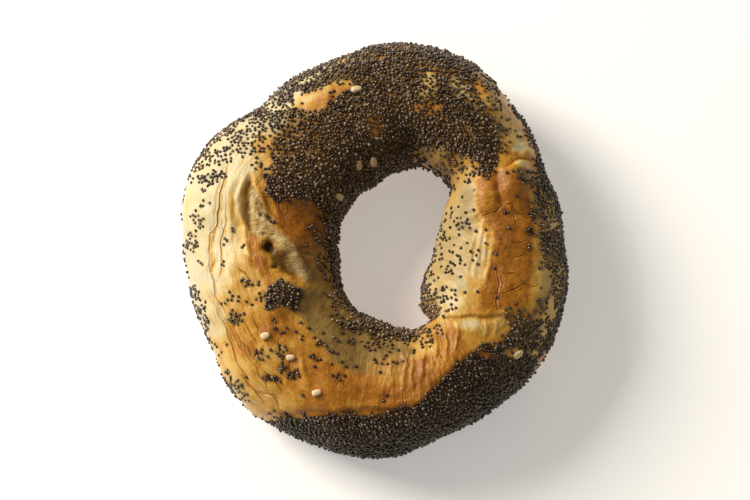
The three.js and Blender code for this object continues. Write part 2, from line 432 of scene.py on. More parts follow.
# The deep folds, which don't add up where they cross.
MAIN_FOLDS = (
    # left side: the ridge, the torn gouge, its lip, the pit and the channel below it
    Fold(0.5, 1.1, ((-38.0, 18.5), (-39.8, 13.5), (-40.5, 9), (-40.4, 4), (-39.8, -1))),
    Fold(0.6, 0.8, ((-35.4, 17.2), (-36.7, 13.4), (-37.4, 10.2), (-37.3, 7.2), (-36.3, 4.0), (-35.2, 1.2))),
    Fold(-1.5, 1.0, ((-34.2, 16.4), (-35.0, 12.6), (-35.1, 9), (-34.7, 5), (-33.8, 1.5))),
    Fold(0.8, 0.8, ((-33.6, 17.0), (-33.0, 13.6), (-31.4, 10.8), (-30.3, 8.2), (-28.6, 4.8), (-26.0, 1.4))),
    Fold(0.8, 1.2, ((-26.4, 0.6), (-23.2, -3.1), (-21.0, -6.5), (-18.6, -10.2))),
    Fold(-1.9, 2.1, ((-28.8, -4.2), (-26.4, -6.8), (-24.2, -8.6), (-22.2, -10.4), (-20.4, -12.4))),
    # right side: the cracks between its blisters
    Fold(-1.1, 1.0, ((35.2, 18.2), (34.9, 15.5), (34.7, 13), (35.6, 10.5), (36.8, 8.6))),
    Fold(-0.6, 0.8, ((36.6, 8.8), (34.6, 6.8), (33, 6.3), (30.6, 5.6))),
    Fold(-0.6, 0.8, ((36.8, 8.7), (39.2, 8.4), (40, 7), (42.4, 6.1), (44.4, 4.4))),
    Fold(-0.4, 0.7, ((39.0, 8.2), (39.3, 5.2), (41.2, 2.1), (42.6, 0.6), (45, 0.4))),
    Fold(
        -0.55, 0.8, ((33.2, -16.6), (36.7, -16.4), (39.2, -15), (41.6, -13.6), (44.7, -14.3), (46.6, -13.6))
    ),
    Fold(-0.4, 0.8, ((34.6, -9.6), (35.3, -13), (34.8, -16.4), (34.4, -18.8), (35, -21.4))),
    Fold(-0.35, 0.7, ((38.6, -6.1), (42, -5.6), (45.2, -6))),
    # the far side's overlap
    Fold(-0.5, 0.6, ((37.4, 20.4), (39.4, 21.5), (41.4, 22.5), (42.9, 22.9), (44.6, 21.2))),
)
# The creases and the low ridges beside them.
FINE_FOLDS = (
    Fold(
        -1.0,
        0.9,
        ((-40.8, 21), (-41.2, 17.5), (-42.6, 12), (-43.4, 7), (-43.5, 3.5), (-45.4, -0.8), (-45.9, -4)),
    ),
    Fold(
        -0.9,
        0.8,
        ((-45.9, -3.8), (-44.8, -7.4), (-45.6, -9.6), (-44.6, -14.4), (-42.5, -18.7), (-40.6, -22.4)),
    ),
    Fold(-0.6, 0.6, ((-44, 2.4), (-46.3, 0.6), (-47, -4), (-46.2, -7), (-45.2, -10.6))),
    Fold(-0.5, 0.6, ((-40.2, 14.2), (-41.2, 8), (-41.6, 2.4), (-43, -3.4), (-42.4, -9.6), (-43.2, -14))),
    Fold(
        -0.8,
        0.7,
        ((-40.6, -22.2), (-40.4, -25.4), (-38, -28.8), (-36, -32.1), (-34.2, -34.5), (-31.6, -37.6)),
    ),
    Fold(
        -0.9,
        0.8,
        ((-45.8, -15.7), (-42.8, -21.7), (-40.6, -26.4), (-39, -31), (-36.8, -36.7), (-33.6, -40.5)),
    ),
    Fold(-0.9, 0.7, ((-39.7, -23.9), (-37.8, -27.6), (-35.4, -31.2), (-33.4, -34.1), (-30.1, -37))),
    Fold(-0.6, 0.6, ((-35.6, -24.6), (-33.6, -27.6), (-31.6, -31.4))),
    Fold(-0.7, 0.6, ((-33.3, -22.6), (-31.9, -25.7), (-31.1, -28))),
    Fold(-0.6, 0.6, ((-34.8, -41.6), (-30.8, -43.3), (-27.8, -44.6), (-25.6, -47.6))),
    Fold(-0.6, 0.6, ((-30, -38.4), (-27, -40.8), (-24.6, -44.6))),
    Fold(-0.7, 0.6, ((-36.4, -38.4), (-34.8, -40.8), (-32.2, -43.6), (-29.8, -46.0))),
    Fold(-0.5, 0.5, ((-33.0, -35.4), (-31.4, -38.8), (-29.4, -41.4), (-28.6, -43.4))),
    Fold(-0.5, 0.5, ((-23.2, -34.6), (-22.8, -37.4), (-21.2, -40.6))),
    Fold(0.5, 0.6, ((-38.2, -26.2), (-36.4, -30.6), (-34.6, -33.6), (-31.6, -36.4))),
    Fold(0.4, 0.6, ((-35.2, -35.6), (-33.2, -38.8), (-30.4, -41.4), (-28.0, -43.6))),
    Fold(0.5, 0.6, ((-24.6, -41.2), (-22.8, -43.2), (-20.8, -46))),
    Fold(0.6, 0.6, ((-20.2, -33), (-19.3, -37.5), (-17.6, -42.4))),
    Fold(-0.6, 0.6, ((-25.8, -30), (-25.4, -33.4), (-24.4, -36.2))),
    Fold(-0.5, 0.5, ((-26, 10.4), (-25.6, 7.5), (-24.2, 3.8))),
    Fold(-0.6, 0.6, ((-37.4, -9.4), (-35.6, -11), (-34, -13.6))),
    Fold(0.4, 0.6, ((-36.6, 4.4), (-35.6, 1.6), (-35.4, -2.4), (-34.4, -6.4), (-32.4, -10.6))),
    Fold(-0.4, 0.5, ((37.4, -1.4), (40, -2.2), (43, -1.4))),
    Fold(-0.4, 0.5, ((36.4, -11), (38.8, -10.6), (41.4, -11.6))),
    Fold(0.7, 0.5, ((31, 4), (29.8, -1), (29.6, -6), (28.2, -11.2))),
    Fold(0.6, 0.45, ((32, 2.6), (31.2, -3), (30.8, -8))),
    Fold(0.6, 0.45, ((28.4, 1.4), (27.8, -4), (26.6, -9.6))),
    Fold(0.5, 0.5, ((33, -3), (32.4, -8.4), (31.6, -13))),
    # short ridges across the near side
    Fold(0.6, 0.5, ((20, -27), (20.4, -31), (19.9, -35.6))),
    Fold(0.5, 0.4, ((17.6, -28.5), (18, -31), (17.3, -34.6))),
    Fold(0.6, 0.5, ((14.6, -31.8), (14.3, -35), (13.4, -39.4))),
    Fold(0.4, 0.5, ((11.5, -34), (11.2, -38.4), (10.3, -43))),
    Fold(0.5, 0.5, ((8.4, -32.8), (8.9, -37), (8, -43))),
    Fold(0.3, 0.4, ((5, -35), (5.2, -39), (4.2, -44.4))),
    Fold(0.5, 0.5, ((23.6, -25), (23.7, -28.5), (23, -32.6))),
    Fold(0.3, 0.4, ((31, -23.6), (31.8, -26), (31, -28.6))),
    Fold(0.3, 0.4, ((34, -23.6), (34.8, -25.6), (34.2, -28))),
)
LAPS = (
    Lap(
        0.85, 8.0, 0.5, ((14, -23.6), (19.7, -22.9), (24.5, -23.1), (30.5, -22.6), (36, -22.2), (44, -20.6))
    ),
    Lap(
        0.9,
        9.0,
        2.0,
        (
            *((-33.0, -49.4), (-23.5, -49.1), (-4.2, -48.8), (6.9, -48.4)),
            *((13.9, -46.6), (19.4, -40.6), (26.3, -33.7), (33.0, -30.5)),
        ),
    ),
    Lap(0.9, 3.0, 0.4, ((45.6, 19.4), (43.6, 21.8), (41.4, 21.9), (39.6, 20.9), (37.6, 19.8), (35.6, 18.6))),
    Lap(0.2, 3.0, 0.6, ((36.6, 23.6), (38.6, 25.2), (41, 26.2), (42.8, 26.2), (44.4, 23.8))),
)
# Blisters and swellings, and the pits of the gouge, which sink.
SWELLINGS = (
    Spot(1.2, 31.6, 11.5, 3.4, 5.4),
    Spot(1.7, 39.6, 13.6, 4.6, 5.2),
    Spot(0.9, 37.0, -2.0, 6.0, 8.0),
    Spot(1.1, -25.0, -17.8, 5.0, 4.2, 20.0),
    Spot(0.7, 27.0, -26.0, 6.0, 2.4),
    Spot(0.8, 33.2, 38.5, 3.0, 6.0, 25.0),
    Spot(0.9, 43.6, 24.8, 2.4, 2.4, -20.0),
    Spot(-2.6, -28.6, -3.3, 1.5, 1.6, -30.0),
    Spot(-1.4, -28.6, 4.7, 0.7, 1.7, 50.0),
    Spot(-0.9, -31.2, 5.6, 0.5, 0.8, 40.0),
    Spot(-0.8, -30.2, 0.4, 0.8, 0.5),
    Spot(-1.1, -27.2, -9.4, 1.0, 0.5),
)
# Where the short wrinkles across the ring and the long ones along it show.
RADIAL_WRINKLES = Paint(
    (Patch(0.45, 264, 88, 20, 30), Patch(1, 290, 88, 20, 34), Patch(0.3, 314, 92, 14, 20)),
)
LONG_WRINKLES = Paint((Patch(1, 195, 50, 62, 62), Patch(0.8, 348, 114, 10, 12)))


@dataclass(frozen=True)
class RingForm:
    """The ring's form: plan outline, hole, crown, and the relief on its crust."""

    centre: tuple[float, float] = (5.6, 0.9)
    # Plan radii about the hole's centre, every 15 degrees anticlockwise from +X.
    outer: tuple[float, ...] = (
        *(48.2, 48.2, 48.6, 52.3, 56.4, 57.3, 57.8, 57, 55.9, 55.1, 59.7, 61),
        *(59.4, 59.9, 59, 61.6, 60.8, 61, 59.8, 56.1, 54.1, 53.4, 53.5, 50.9),
    )
    hole: tuple[float, ...] = (
        *(12.5, 13.3, 16.4, 24.5, 24.8, 25, 22.3, 19.3, 19.6, 18, 16.2, 16.2),
        *(16.7, 16.7, 17.7, 19.9, 21.1, 22.7, 24.9, 26.1, 20.8, 13.3, 12.6, 12.5),
    )
    knob: tuple[float, float, float] = (302, 7, 4.4)  # swelling in the hole: degrees round, half width, rise
    # Where the dough's end is pushed aside in plan: place, push and reach.
    pushes: tuple[tuple[float, float, float, float, float], ...] = (
        (15.8, -20.8, 2.2, -0.7, 2.2),
        (14.4, -16.2, -1.2, 0.1, 2.2),
    )
    crown: tuple[float, ...] = (31, 33, 33.5, 33, 34, 33, 31, 31.5)  # every 45 degrees
    equator: float = 13.5  # height of the widest part
    belly: float = 15.4  # depth of the section below it, before it settles
    power: float = 2.35  # of the section's superellipse
    settle: float = 0.8  # height over which the underside rounds off onto its flat
    # Waves left by the rolling hands: height, turns round the ring, turns over the section and start.
    waves: tuple[tuple[float, float, float, float], ...] = (
        (0.5, 5, 1, 0.4),
        (0.35, 8, 2, 2.1),
        (0.2, 13, 3, 4.4),
    )
    bumps: tuple[tuple[float, float], ...] = ((0.5, 7.0), (0.35, 3.2))  # height and size
    waver: tuple[float, float] = (0.8, 5.0)  # how far the wrinkles wander, and over what size
    smoothed: float = 0.6  # of the dimples that the long wrinkles take away
    stray: float = 4.0  # size of the wander of folds and creases
    crease_share: float = 0.55  # of a crease's depth that the skin takes; the finish draws the rest
    crease_reach: float = 3.0  # how far off a crease is still measured
    crease_fade: tuple[float, float] = (0.5, 0.85)  # distances over which its depth fades
    folded: tuple[float, float] = (0.1, 0.55)  # sines of the section over which the folds come in
    wrinkled: tuple[float, float] = (-0.2, 0.3)  # and over which the wrinkles do
    noise: DoughNoise = DoughNoise(11)

    @staticmethod
    def round_ring(values: Sequence[float], angle: Array) -> Array:
        """Reads a smooth closed curve.

        Args:
            values: What the curve passes through, evenly spaced round the ring.
            angle: Angles in radians.

        Returns:
            The curve's value at each angle.
        """
        known = np.asarray(values, float)
        place = (angle / (2 * np.pi)) % 1.0 * len(known)
        index = np.floor(place).astype(int)
        t = place - index
        before, start, end, after = (known[(index + k) % len(known)] for k in (-1, 0, 1, 2))
        quadratic = 2 * before - 5 * start + 4 * end - after
        cubic = 3 * (start - end) + after - before
        return start + 0.5 * t * (end - before + t * (quadratic + t * cubic))

    def plain(self, around: Array, over: Array) -> Array:
        """Points of the plain ring.

        Args:
            around: Angles round the ring, in radians.
            over: Angles over the section, 0 on the outer side and a quarter turn on the crown.

        Returns:
            One row of x, y and z for each pair of angles.
        """
        place, wide, high = self.knob
        beyond = (np.degrees(around) - place + 180) % 360 - 180
        inner = self.round_ring(self.hole, around) - high * bell(beyond, wide)
        outer = self.round_ring(self.outer, around)
        half_width = (outer - inner) / 2
        rise = self.round_ring(self.crown, around) - self.equator
        half_height = np.where(np.sin(over) > 0, rise, self.belly)
        across = np.abs(np.cos(over) / half_width) ** self.power
        upward = np.abs(np.sin(over) / half_height) ** self.power
        reach = (across + upward) ** (-1 / self.power)
        radius = (inner + outer) / 2 + reach * np.cos(over)
        return np.stack(
            [
                self.centre[0] + radius * np.cos(around),
                self.centre[1] + radius * np.sin(around),
                self.equator + reach * np.sin(over),
            ],
            axis=-1,
        )

    def facing(self, around: Array, over: Array) -> Array:
        """Outward directions of the plain ring, one row for each pair of angles."""
        return outward(self.plain, around, over, step=1e-3)

    def places(self, around: Array, over: Array) -> Places:
        """The places at pairs of angles in radians."""
        return Places(around, over, self.plain(around, over))

    def fold_relief(self, fold: Fold, x: Array, y: Array) -> Array:
        """Height that the skin takes of a fold at plan positions."""
        return fold.relief(x, y) * (self.crease_share if fold.is_crease else 1)

    def crown_relief(self, x: Array, y: Array) -> Array:
        """Height of the folds, creases, laps and swellings.

        Args:
            x: Plan positions across.
            y: Plan positions along.

        Returns:
            Millimetres at each position.
        """
        lowest = np.zeros(x.shape)
        highest = np.zeros(x.shape)
        for fold in MAIN_FOLDS:
            height = self.fold_relief(fold, x, y)
            lowest, highest = np.minimum(lowest, height), np.maximum(highest, height)
        total = lowest + highest
        for fold in FINE_FOLDS:
            total += self.fold_relief(fold, x, y)
        for lap in LAPS:
            total += lap.relief(x, y)
        upper = Places(np.zeros(x.shape), np.full(x.shape, np.pi / 2), np.stack([x, y], axis=-1))
        for swelling in SWELLINGS:
            total += swelling.value * bell(swelling.reach(upper), 1.0)
        return total

    def astray(self, points: Array) -> tuple[Array, Array]:
        """Plan positions a little off the true ones, so that no drawn line runs smooth."""
        x, y = (points[:, i] + self.noise.at(points + 7 * (i + 1), self.stray) for i in (0, 1))
        return x, y

    def crease_lines(self, points: Array) -> tuple[Array, Array]:
        """Where the creases run.

        Args:
            points: Places, as rows of three numbers.

        Returns:
            Distance beside the nearest crease, below 0 on its right, and its depth, both in millimetres.
        """
        x, y = self.astray(points)
        nearest = np.full(x.shape, self.crease_reach)
        depth = np.zeros(x.shape)
        for fold in (*MAIN_FOLDS, *FINE_FOLDS):
            if fold.is_crease:
                distance, side, share = beside(fold.path, x, y)
                near = distance < np.abs(nearest)
                taper = np.sin(np.pi * share.clip(0, 1)).clip(0, 1) ** 0.5
                nearest = np.where(near, np.copysign(distance, side), nearest)
                depth = np.where(near, -fold.height * taper, depth)
        return nearest, depth * (1 - smooth_step(np.abs(nearest), *self.crease_fade))

    def wrinkles(self, places: Places) -> Array:
        """Height of the skin's fine wrinkles, long ones along the ring and short ones across its near side.

        Args:
            places: Where to measure.

        Returns:
            Millimetres at each place.
        """
        skin, noise = places.skin(), self.noise
        short = RADIAL_WRINKLES.at(places, noise)
        long = LONG_WRINKLES.at(places, noise)
        far, size = self.waver
        wandered = skin + far * np.stack([noise.at(skin + 9 * k, size) for k in (1, 2, 3)], axis=-1)
        along, across = (kind.relief(wandered, noise) for kind in (ALONG, ACROSS))
        dimples = DIMPLES.relief(skin, noise) * (1 - self.smoothed * long)
        mixed = along * long * (1 - short) + across * short + dimples
        return smooth_step(np.sin(places.over), *self.wrinkled) * mixed

    def crust(self, around: Array, over: Array) -> Array:
        """Points of the finished crust, settled on the resting face.

        Args:
            around: Angles round the ring, in radians.
            over: Angles over the section, in radians.

        Returns:
            One row of x, y and z for each pair of angles.
        """
        places = self.places(around, over)
        points = places.points.copy()
        swell = sum(
            rise * np.sin(turns * around + climbs * over + start)
            for rise, turns, climbs, start in self.waves
        )
        relief = smooth_step(np.sin(over), *self.folded) * self.crown_relief(*self.astray(points))
        bumps = sum(rise * self.noise.at(points, size) for rise, size in self.bumps)
        height = swell + relief + bumps + self.wrinkles(places)
        points += self.facing(around, over) * height[:, None]
        for x, y, right, far, reach in self.pushes:
            share = bell(np.hypot(points[:, 0] - x, points[:, 1] - y), reach)
            points[:, :2] += share[:, None] * (right, far)
        z = points[:, 2].copy()
        rounded = (z + self.settle) ** 2 / (4 * self.settle)
        points[:, 2] = np.where(np.abs(z) < self.settle, rounded, np.maximum(z, 0))
        return points


# ---------------------------------------------------------------- node sketches


class Sketch:
    """Wires shader nodes in a tree with few words."""

    def __init__(self, tree: bpy.types.NodeTree) -> None:
        """Starts on a tree."""
        self.tree = tree

    def feed(self, node: bpy.types.Node, inputs: dict[Any, Any]) -> None:
        """Sets inputs of a node.

        Args:
            node: The node.
            inputs: Socket name or number to a value or to the socket that feeds it.
        """
        for name, value in inputs.items():
            if isinstance(value, bpy.types.NodeSocket):
                self.tree.links.new(value, node.inputs[name])
            else:
                node.inputs[name].default_value = value

    def add(self, kind: str, inputs: dict[Any, Any] | None = None, **settings: Any) -> bpy.types.Node:
        """Adds a node.

        Args:
            kind: Blender's name of the node type.
            inputs: Socket name or number to a value or to the socket that feeds it.
            **settings: Attributes to set on the node.

        Returns:
            The node.
        """
        node = self.tree.nodes.new(kind)
        for name, value in settings.items():
            setattr(node, name, value)
        self.feed(node, inputs or {})
        return node

    def attribute(self, name: str, output: str = "Fac") -> bpy.types.NodeSocket:
        """What the mesh carries under a name."""
        return self.add("ShaderNodeAttribute", attribute_name=name).outputs[output]

    def math(self, operation: str, *values: Any) -> bpy.types.NodeSocket:
        """The result of a sum or other operation on values or sockets."""
        return self.add("ShaderNodeMath", dict(enumerate(values)), operation=operation).outputs[0]

    def away_from_middle(self, noise: Any) -> bpy.types.NodeSocket:
        """Noise from 0 to 1, moved to lie round 0."""
        return self.math("SUBTRACT", noise, 0.5)

    def total(self, *terms: tuple[Any, float]) -> bpy.types.NodeSocket:
        """Adds sockets up.

        Args:
            *terms: Sockets, each with the number that it is multiplied by.

        Returns:
            The sum.
        """
        result: Any = 0.0
        for socket, strength in terms:
            step = self.add("ShaderNodeMath", {0: socket, 1: strength, 2: result}, operation="MULTIPLY_ADD")
            result = step.outputs[0]
        return result

    def between(self, value: Any, low: float, high: float, start: float, end: float) -> bpy.types.NodeSocket:
        """A value moved from the range low to high into the range start to end, and kept in it."""
        node = self.add("ShaderNodeMapRange", {0: value, 1: low, 2: high, 3: start, 4: end}, clamp=True)
        return node.outputs[0]

    def scaled(self, vector: Any, factors: tuple[float, float, float]) -> bpy.types.NodeSocket:
        """A vector times three numbers."""
        return self.add("ShaderNodeVectorMath", {0: vector, 1: factors}, operation="MULTIPLY").outputs[0]

    def blend(self, share: Any, first: Any, second: Any, way: str = "MIX") -> bpy.types.NodeSocket:
        """Blends two colours.

        Args:
            share: How much of the second colour goes in.
            first: A colour or its socket.
            second: A colour or its socket.
            way: Blender's name for the way of blending.

        Returns:
            The blended colour.
        """
        node = self.add("ShaderNodeMix", data_type="RGBA", blend_type=way)
        place = {socket.identifier: number for number, socket in enumerate(node.inputs)}
        self.feed(node, {place["Factor_Float"]: share, place["A_Color"]: first, place["B_Color"]: second})
        return next(socket for socket in node.outputs if socket.identifier == "Result_Color")

    def ramp(self, value: Any, stops: Sequence[tuple[float, str]]) -> bpy.types.NodeSocket:
        """Reads a colour from a ramp.

        Args:
            value: Where to read it.
            stops: Places from 0 to 1 and their hex colours.

        Returns:
            The colour.
        """
        node = self.add("ShaderNodeValToRGB", {0: value})
        elements = node.color_ramp.elements
        while len(elements) < len(stops):
            elements.new(0.5)
        for element, (place, code) in zip(elements, stops):
            element.position = place
            element.color = linear_colour(code)
        return node.outputs["Color"]

    def noise(
        self, where: Any, scale: Any, detail: float = 3.0, rough: float = 0.55
    ) -> bpy.types.NodeSocket:
        """Smooth noise from 0 to 1 at a place."""
        inputs = {"Vector": where, "Scale": scale, "Detail": detail, "Roughness": rough}
        return self.add("ShaderNodeTexNoise", inputs).outputs["Fac"]

    def bump(self, height: Any, depth: float, strength: float) -> bpy.types.NodeSocket:
        """Normals that show a height from 0 to 1 as relief of a depth in millimetres."""
        inputs = {"Height": height, "Distance": depth * MM, "Strength": strength}
        return self.add("ShaderNodeBump", inputs).outputs["Normal"]

    def object_place(self) -> bpy.types.NodeSocket:
        """Where a point lies in its own object, in metres."""
        return self.add("ShaderNodeTexCoord").outputs["Object"]


def new_group(
    name: str, inputs: dict[str, float], outputs: Sequence[str]
) -> tuple[bpy.types.NodeTree, bpy.types.Node, bpy.types.Node]:
    """Makes an empty shader node group of number sockets.

    Args:
        name: Name of the group.
        inputs: Input names and their starting values.
        outputs: Output names.

    Returns:
        The group, its input node and its output node.
    """
    tree = bpy.data.node_groups.new(name, "ShaderNodeTree")
    for socket_name, value in inputs.items():
        socket = tree.interface.new_socket(socket_name, in_out="INPUT", socket_type="NodeSocketFloat")
        socket.default_value = value
    for socket_name in outputs:
        tree.interface.new_socket(socket_name, in_out="OUTPUT", socket_type="NodeSocketFloat")
    return tree, tree.nodes.new("NodeGroupInput"), tree.nodes.new("NodeGroupOutput")


class OvenMottle:
    """Node group shared by the crust and the seeds: the oven's uneven tone, and a fine grain."""

    def __init__(self) -> None:
        """Builds the group."""
        self.tree, source, sink = new_group(
            "oven_mottle", {"Patch size": 6.0, "Grain size": 0.5, "Unevenness": 1.0}, ("Tone", "Grain")
        )
        sketch = Sketch(self.tree)
        where = sketch.object_place()
        tone, grain = (
            sketch.noise(where, sketch.math("DIVIDE", 1.0 / MM, source.outputs[size]), detail, rough=0.5)
            for size, detail in (("Patch size", 4.0), ("Grain size", 2.0))
        )
        spread = sketch.math("MULTIPLY", sketch.away_from_middle(tone), source.outputs["Unevenness"])
        sketch.feed(sink, {"Tone": spread, "Grain": grain})

    def place(self, sketch: Sketch, patch: float, grain: float, unevenness: float) -> bpy.types.Node:
        """Puts the group in a material with its own values.

        Args:
            sketch: The material's tree.
            patch: Size of the uneven patches, in millimetres.
            grain: Size of the grain, in millimetres.
            unevenness: How strong the patches are.

        Returns:
            The group's node, with outputs Tone (about -0.3 to 0.3) and Grain (0 to 1).
        """
        inputs = {"Patch size": patch, "Grain size": grain, "Unevenness": unevenness}
        return sketch.add("ShaderNodeGroup", inputs, node_tree=self.tree)


def new_material(name: str) -> tuple[bpy.types.Material, Sketch, bpy.types.Node]:
    """Makes a material with one principled shader.

    Args:
        name: Name of the material.

    Returns:
        The material, a sketch of its tree and the shader node.
    """
    material = bpy.data.materials.new(name)
    material.use_nodes = True
    tree = material.node_tree
    shader = next(n for n in tree.nodes if n.type == "BSDF_PRINCIPLED")
    return material, Sketch(tree), shader


# ---------------------------------------------------------------- finishes


@dataclass(frozen=True)
class CrustFinish:
    """Skin baked from cream to caramel, with raw inner skin, torn crumb and the stain under the seeds;
    painted shade darkens its hollows, its inner slopes and the gaps between seeds, and its ridges carry
    painted highlights.
    """

    bake_stops: tuple[tuple[float, str], ...] = (
        (0.00, "cac2a6"),
        (0.14, "dac796"),
        (0.28, "dab361"),
        (0.42, "c99132"),
        (0.56, "b07019"),
        (0.70, "975b0e"),
        (0.86, "784208"),
        (1.00, "542a06"),
    )
    # unbaked skin, dulled towards olive, partly as painted shade on inner slopes
    raw_and_shade_stops: tuple[tuple[float, str], ...] = ((0.25, "87662b"), (0.75, "bb9c58"))
    crumb_stops: tuple[tuple[float, str], ...] = (
        (0.34, "503812"),
        (0.42, "9a783c"),
        (0.52, "ba9a5e"),
        (0.64, "d8c290"),
    )
    # dark ground under dense seeds: partly browning, partly painted shade between them
    stain_and_shade_stops: tuple[tuple[float, str], ...] = ((0.35, "1c130a"), (0.65, "42290f"))
    # colour of the painted shade in hollows and on slopes turned from the lamp
    shade: str = "43310b"
    burnt: str = "5e2a0c"
    roughness: tuple[float, float] = (0.29, 0.47)
    relief_depth: float = 0.4  # millimetres

    @staticmethod
    def lines(sketch: Sketch, noise: Any, width: float) -> bpy.types.NodeSocket:
        """Thin wandering lines, 1 where noise from 0 to 1 passes its middle."""
        return sketch.between(sketch.math("ABSOLUTE", sketch.away_from_middle(noise)), 0.0, width, 1.0, 0.0)

    def relief(self, sketch: Sketch, skin: Any) -> dict[str, Any]:
        """Wires the fine forms of the skin.

        Args:
            sketch: The material's tree.
            skin: The skin's own coordinates.

        Returns:
            By name: streaks and creases along the ring, ridges across it, leather, drawn creases with their
            lips, and torn crumb.
        """
        long_way, short_way = sketch.scaled(skin, (0.15, 0.15, 1.0)), sketch.scaled(skin, (1.0, 1.0, 0.2))
        torn = sketch.total((sketch.attribute("torn"), 1.0), (sketch.noise(skin, 0.9, 4.0, 0.7), 0.8))
        off = sketch.math("ABSOLUTE", sketch.attribute("crease_side"))
        bed, wide = sketch.between(off, 0.1, 0.4, 1.0, 0.0), sketch.between(off, 0.4, 0.85, 1.0, 0.0)
        long_share, depth = sketch.attribute("long"), sketch.attribute("crease_depth")
        # the plain form of each, and where or how strongly it shows
        shown = {
            "streaks": (sketch.away_from_middle(sketch.noise(long_way, 0.9, 4.0, 0.6)), long_share),
            "creases": (self.lines(sketch, sketch.noise(long_way, 0.42, 3.0, 0.5), 0.035), long_share),
            "ridges": (
                self.lines(sketch, sketch.noise(short_way, 0.36, 2.0, 0.5), 0.07),
                sketch.attribute("radial"),
            ),
            "leather": (
                sketch.away_from_middle(sketch.noise(skin, 0.8, 4.0, 0.6)),
                sketch.between(sketch.attribute("bake"), 0.2, 0.7, 0.5, 1.5),
            ),
            "drawn": (sketch.between(off, 0.06, 0.38, 1.0, 0.0), depth),
            "lips": (sketch.math("SUBTRACT", wide, bed), depth),
        }
        forms = {name: sketch.math("MULTIPLY", *pair) for name, pair in shown.items()}
        return forms | {"torn": sketch.between(torn, 0.65, 1.1, 0.0, 1.0)}

    def colour(self, sketch: Sketch, tone: Any, forms: dict[str, Any], skin: Any) -> bpy.types.NodeSocket:
        """Wires the crust's colour.

        Args:
            sketch: The material's tree.
            tone: Uneven tone from the oven mottle.
            forms: The fine forms of the skin.
            skin: The skin's own coordinates.

        Returns:
            The colour.
        """
        blotch = sketch.noise(skin, 0.4, 4.0, 0.6)
        painted = sketch.attribute("bake")
        darkened = sketch.math("MULTIPLY", forms["drawn"], sketch.between(painted, 0.0, 0.8, 0.36, 0.02))
        bake = sketch.total(
            (painted, 1.0),
            (forms["streaks"], 0.13),
            (forms["creases"], 0.04),
            # painted highlight: the ridges' crests are drawn paler
            (forms["ridges"], -0.07),
            (forms["leather"], 0.2),
            (darkened, 1.0),
            # painted highlight: the lips beside each crease are drawn paler
            (forms["lips"], -0.14),
            (sketch.away_from_middle(blotch), 0.16),
            (tone, 1.0),
            (sketch.attribute("groove"), 0.1),
        )
        colour = sketch.ramp(bake, self.bake_stops)
        pale = sketch.total((blotch, 1.0), (forms["leather"], 0.4), (forms["streaks"], 0.4))
        # unbaked skin, partly painted shade on the inner walls and slopes
        colour = sketch.blend(sketch.attribute("raw_and_shade"), colour, sketch.ramp(pale, self.raw_and_shade_stops))
        crumb = sketch.total((sketch.noise(skin, 1.2, 4.0, 0.6), 0.42), (sketch.noise(skin, 0.3, 3.0), 0.58))
        colour = sketch.blend(forms["torn"], colour, sketch.ramp(crumb, self.crumb_stops))
        # painted shade: hollows and slopes turned from the lamp are drawn darker
        colour = sketch.blend(sketch.attribute("shade"), colour, linear_colour(self.shade))
        burnt = sketch.math("MULTIPLY", sketch.attribute("halo"), sketch.between(bake, 0.2, 0.8, 0.0, 0.85))
        colour = sketch.blend(burnt, colour, linear_colour(self.burnt))
        # stain and painted shade under and between the dense seeds
        stain_and_shade = sketch.ramp(sketch.noise(skin, 0.22, 3.0, 0.6), self.stain_and_shade_stops)
        return sketch.blend(sketch.attribute("stain_and_shade"), colour, stain_and_shade)

    def material(self, mottle: OvenMottle) -> bpy.types.Material:
        """Makes the material.

        Args:
            mottle: The shared oven mottle.

        Returns:
            The crust material.
        """
        material, sketch, shader = new_material("baked_crust")
        uneven = mottle.place(sketch, patch=5.0, grain=0.42, unevenness=0.26)
        skin = sketch.attribute("skin", "Vector")
        forms = self.relief(sketch, skin)
        torn = forms["torn"]
        rough = sketch.total(
            (sketch.between(uneven.outputs["Grain"], 0.3, 0.7, *self.roughness), 1.0),
            (torn, 0.35),
            (sketch.attribute("raw_and_shade"), 0.12),
        )
        pores = sketch.noise(skin, 2.0, 4.0, 0.7)
        height = sketch.total(
            (forms["streaks"], 1.1),
            (forms["creases"], -0.22),
            (forms["ridges"], 0.45),
            (forms["leather"], 0.9),
            (forms["drawn"], -1.0),
            (forms["lips"], 0.9),
            (uneven.outputs["Grain"], 0.25),
            (sketch.math("MULTIPLY", pores, torn), 1.0),
        )
        sketch.feed(
            shader,
            {
                "Base Color": self.colour(sketch, uneven.outputs["Tone"], forms, skin),
                "Roughness": rough,
                "Normal": sketch.bump(height, self.relief_depth, 0.8),
                "Subsurface Weight": 0.08,
                "Subsurface Radius": (0.8, 0.5, 0.25),
                "Subsurface Scale": MM,
                "Specular IOR Level": 0.38,
            },
        )
        return material


class SeedTone(Enum):
    """The tones that poppy seeds bake to: the darkest and the palest colour of each."""

    SLATE = ("2a211a", "a08e74")
    UMBER = ("23160e", "866747")
    SOOT = ("16110d", "62523e")


